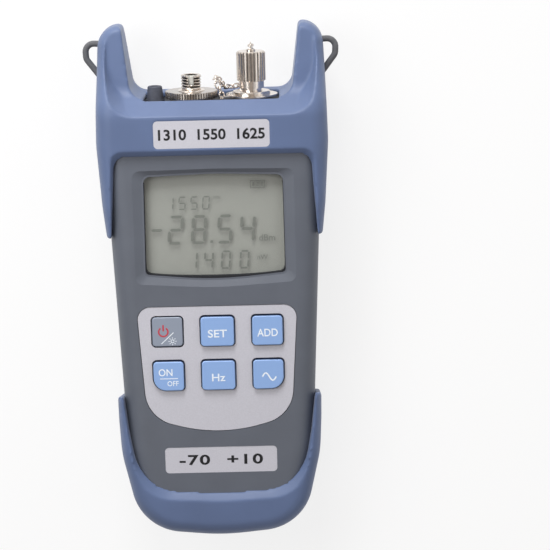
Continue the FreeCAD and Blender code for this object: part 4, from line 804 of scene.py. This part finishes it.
class METER_OT_chain(bpy.types.Operator):
    """Hang a copy of the cap's chain between its lug and the cap, nudged clear of the port"""
    bl_idname = "meter.chain"
    bl_label = "Chain"

    def execute(self, context):
        piece = copy_of("cap_chain", "hanging_chain")
        # the stretch beside the meter port rides up, clear of the nut when that is screwed off
        beside = Vector((2.2, 78.3, 19.8)) * MM
        bpy.ops.object.mode_set(mode="EDIT")
        bpy.ops.mesh.select_all(action="DESELECT")
        bpy.ops.mesh.select_mode(type="VERT")
        bpy.ops.object.mode_set(mode="OBJECT")
        for vertex in piece.data.vertices:
            vertex.select = (vertex.co - beside).length < 1.7 * MM
        bpy.ops.object.mode_set(mode="EDIT")
        bpy.ops.transform.translate(value=(0.7 * MM, 1.3 * MM, 0), use_proportional_edit=True,
                                    proportional_edit_falloff="SMOOTH", proportional_size=6 * MM)
        bpy.ops.object.mode_set(mode="OBJECT")
        bpy.ops.object.shade_smooth_by_angle(angle=math.radians(50))
        piece.data.materials.clear()
        piece.data.materials.append(bpy.data.materials["nickel plate"])
        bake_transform(piece)
        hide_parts("cap_chain")
        return {"FINISHED"}


class METER_OT_threaded_port(bpy.types.Operator):
    """Turn the threaded barrel of the meter port, with its key slot"""
    bl_idname = "meter.threaded_port"
    bl_label = "Threaded port"

    def execute(self, context):
        sizes = context.scene.meter_sizes
        turns = 96
        rows = self.profile(sizes)
        deselect()
        bpy.ops.mesh.primitive_grid_add(x_subdivisions=turns, y_subdivisions=len(rows) - 1, size=1)
        piece = bpy.context.object
        columns = turns + 1
        for index, vertex in enumerate(piece.data.vertices):
            row, column = divmod(index, columns)
            angle = 2 * math.pi * column / turns
            radius, along = rows[row]
            if callable(radius):
                radius = radius(along, angle)
            vertex.co = (PORT_X + radius * math.cos(angle), along, PORT_Z + radius * math.sin(angle))
        pick(piece)
        bpy.ops.object.mode_set(mode="EDIT")
        bpy.ops.mesh.select_all(action="SELECT")
        bpy.ops.mesh.remove_doubles(threshold=0.001 * MM)
        bpy.ops.mesh.normals_make_consistent(inside=False)
        bpy.ops.object.mode_set(mode="OBJECT")
        piece.name = piece.data.name = "port_barrel"
        self.cut_slot(piece, sizes)
        bpy.ops.object.shade_smooth_by_angle(angle=math.radians(32))
        # the colour #2e2a28 is painted shade for the thread's grooves
        metal = grooved_nickel("threaded nickel", context.scene.meter_colours.nickel, "#2e2a28", PORT_X,
                               PORT_CREST - sizes.thread_depth, PORT_CREST - 0.1 * sizes.thread_depth,
                               PORT_SHOULDER + 0.2 * MM, PORT_FRONT - 0.2 * MM)
        finish_piece(piece, metal, "adapter_slide")
        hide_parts("meter_barrel")
        return {"FINISHED"}

    def profile(self, sizes):
        """Radius and place of each row round the closed section, outside first."""
        front, shoulder, back = PORT_FRONT, PORT_SHOULDER, 73.83 * MM
        pitch, crest = sizes.thread_pitch, PORT_CREST
        low, high = shoulder + 0.5 * MM, front - 0.5 * MM

        def threaded(along, angle):
            fade = min(1, (along - low) / (0.5 * pitch), (high - along) / (0.5 * pitch))
            phase = ((along - low) / pitch - angle / (2 * math.pi)) % 1
            dip = 1 - abs(2 * phase - 1)
            dip = min(1, max(0, dip * 1.35 - 0.15))
            return crest - sizes.thread_depth * dip * max(0, fade)

        rows = [(2.7 * MM, back), (5.25 * MM, back), (5.25 * MM, shoulder - 0.3 * MM),
                (4.95 * MM, shoulder), (3.6 * MM, shoulder)]
        steps = 56
        rows += [(threaded, low + (high - low) * step / steps) for step in range(steps + 1)]
        rows += [(3.6 * MM, front), (2.9 * MM, front), (2.7 * MM, front - 0.2 * MM), (2.7 * MM, back)]
        return rows

    def cut_slot(self, piece, sizes):
        """Cuts the key slot in the front of the barrel's wall."""
        deselect()
        bpy.ops.mesh.primitive_cube_add(size=1)
        cutter = bpy.context.object
        cutter.scale = (sizes.slot_width, sizes.slot_depth * 2, 3 * MM)
        cutter.location = (PORT_X, PORT_FRONT, PORT_Z + 3.4 * MM)
        settled(cutter)
        pick(piece)
        cut = piece.modifiers.new("slot", "BOOLEAN")
        cut.object = cutter
        cut.operation = "DIFFERENCE"
        cut.solver = "EXACT"
        bpy.ops.object.modifier_apply(modifier=cut.name)
        pick(cutter)
        bpy.ops.object.delete()
        pick(piece)


class METER_OT_stage(bpy.types.Operator):
    """Set the floor, the lamps and the camera"""
    bl_idname = "meter.stage"
    bl_label = "Stage"

    def execute(self, context):
        scene = context.scene
        scene.view_settings.view_transform = "Standard"
        deselect()
        bpy.ops.mesh.primitive_plane_add(size=4, location=(0, 0, -0.002))
        floor = bpy.context.object
        floor.name = floor.data.name = "floor"
        settled(floor)
        material, tree, shader = new_material("pale backdrop", linear("#f4f4f4"), 0.9)
        path = add_node(tree, "ShaderNodeLightPath")
        glow = add_node(tree, "ShaderNodeEmission", Color=(1, 1, 1, 1), Strength=1.0)
        seen = add_node(tree, "ShaderNodeMath", {"operation": "MAXIMUM"}, at0=path.outputs["Is Camera Ray"],
                        at1=path.outputs["Is Glossy Ray"])
        seen = add_node(tree, "ShaderNodeMath", {"operation": "MAXIMUM"}, at0=seen.outputs[0],
                        at1=path.outputs["Is Transmission Ray"])
        share = add_node(tree, "ShaderNodeMath", {"operation": "MULTIPLY"}, at0=seen.outputs[0], at1=0.8)
        mix = add_node(tree, "ShaderNodeMixShader", Fac=share.outputs[0])
        tree.links.new(shader.outputs[0], mix.inputs[1])
        tree.links.new(glow.outputs[0], mix.inputs[2])
        tree.links.new(mix.outputs[0], tree.nodes["Material Output"].inputs["Surface"])
        floor.data.materials.append(material)
        self.world(scene)
        for name, place, size, power in (
            ("softbox_left", (-0.34, 0.2, 0.42), 0.3, 1.2),
            ("softbox_right", (0.8, 0.1, 0.5), 0.6, 1.3),
            ("softbox_top", (-0.1, 0.78, 0.4), 0.3, 6.2),
        ):
            deselect()
            bpy.ops.object.light_add(type="AREA", location=place)
            lamp = bpy.context.object
            lamp.name = name
            lamp.data.shape = "SQUARE"
            lamp.data.size = size
            lamp.data.energy = power
            lamp.rotation_euler = (Vector((0, 0, 0.02)) - Vector(place)).to_track_quat("-Z", "Y").to_euler()
        self.camera(scene)
        return {"FINISHED"}

    def world(self, scene):
        world = bpy.data.worlds.new("studio")
        scene.world = world
        world.use_nodes = True
        tree = world.node_tree
        direction = add_node(tree, "ShaderNodeTexCoord").outputs["Generated"]
        split = add_node(tree, "ShaderNodeSeparateXYZ", Vector=direction)
        across = add_node(tree, "ShaderNodeMapRange", Value=split.outputs["X"])
        across.inputs["From Min"].default_value = -1
        ramp = add_node(tree, "ShaderNodeValToRGB", Fac=across.outputs["Result"]).color_ramp
        for place, shade in STUDIO:
            stop = ramp.elements.new(place)
            stop.color = (*linear(shade), 1)
        ramp.elements.remove(ramp.elements[0])
        ramp.elements.remove(ramp.elements[-1])
        back = tree.nodes["Background"]
        tree.links.new(tree.nodes["Color Ramp"].outputs["Color"], back.inputs["Color"])
        back.inputs["Strength"].default_value = 1.0

    def camera(self, scene):
        turn, pitch, roll = math.radians(0.1), math.radians(13), math.radians(1.33)
        distance = 800 * MM
        target = Vector((22.9, 1.58, 20)) * MM
        towards = Vector((math.sin(turn) * math.cos(pitch), math.sin(pitch),
                          math.cos(turn) * math.cos(pitch)))
        right = (-towards).cross(Vector((0, 1, 0))).normalized()
        up = right.cross(-towards)
        across = right * math.cos(roll) - up * math.sin(roll)
        upward = right * math.sin(roll) + up * math.cos(roll)
        deselect()
        bpy.ops.object.camera_add()
        camera = bpy.context.object
        camera.name = "camera"
        matrix = Matrix((across, upward, towards)).transposed().to_4x4()
        matrix.translation = target + towards * distance
        camera.matrix_world = matrix
        camera.data.sensor_width = 36
        camera.data.lens = 132.5
        camera.data.clip_start = 0.01
        camera.data.clip_end = 20
        scene.camera = camera


class METER_PT_panel(bpy.types.Panel):
    """Lists the meter's steps, sizes and colours"""
    bl_idname = "METER_PT_panel"
    bl_label = "Optical power meter"
    bl_space_type = "VIEW_3D"
    bl_region_type = "UI"
    bl_category = "Meter"

    def draw(self, context):
        for step in STEPS:
            self.layout.operator(step.bl_idname)
        for group in (context.scene.meter_sizes, context.scene.meter_colours):
            column = self.layout.column()
            for key in group.__annotations__:
                column.prop(group, key)


STEPS = (METER_OT_finishes, METER_OT_display, METER_OT_display_shade, METER_OT_legends, METER_OT_threaded_port,
         METER_OT_soft_parts, METER_OT_chain, METER_OT_stage)
CLASSES = (MeterColours, MeterSizes, METER_PT_panel, *STEPS)


def register():
    for each in CLASSES:
        bpy.utils.register_class(each)
    bpy.types.Scene.meter_colours = PointerProperty(type=MeterColours)
    bpy.types.Scene.meter_sizes = PointerProperty(type=MeterSizes)


def unregister():
    del bpy.types.Scene.meter_colours
    del bpy.types.Scene.meter_sizes
    for each in reversed(CLASSES):
        bpy.utils.unregister_class(each)


def main():
    register()
    for step in STEPS:
        group, name = step.bl_idname.split(".")
        getattr(getattr(bpy.ops, group), name)()


if __name__ == "__main__":
    main()
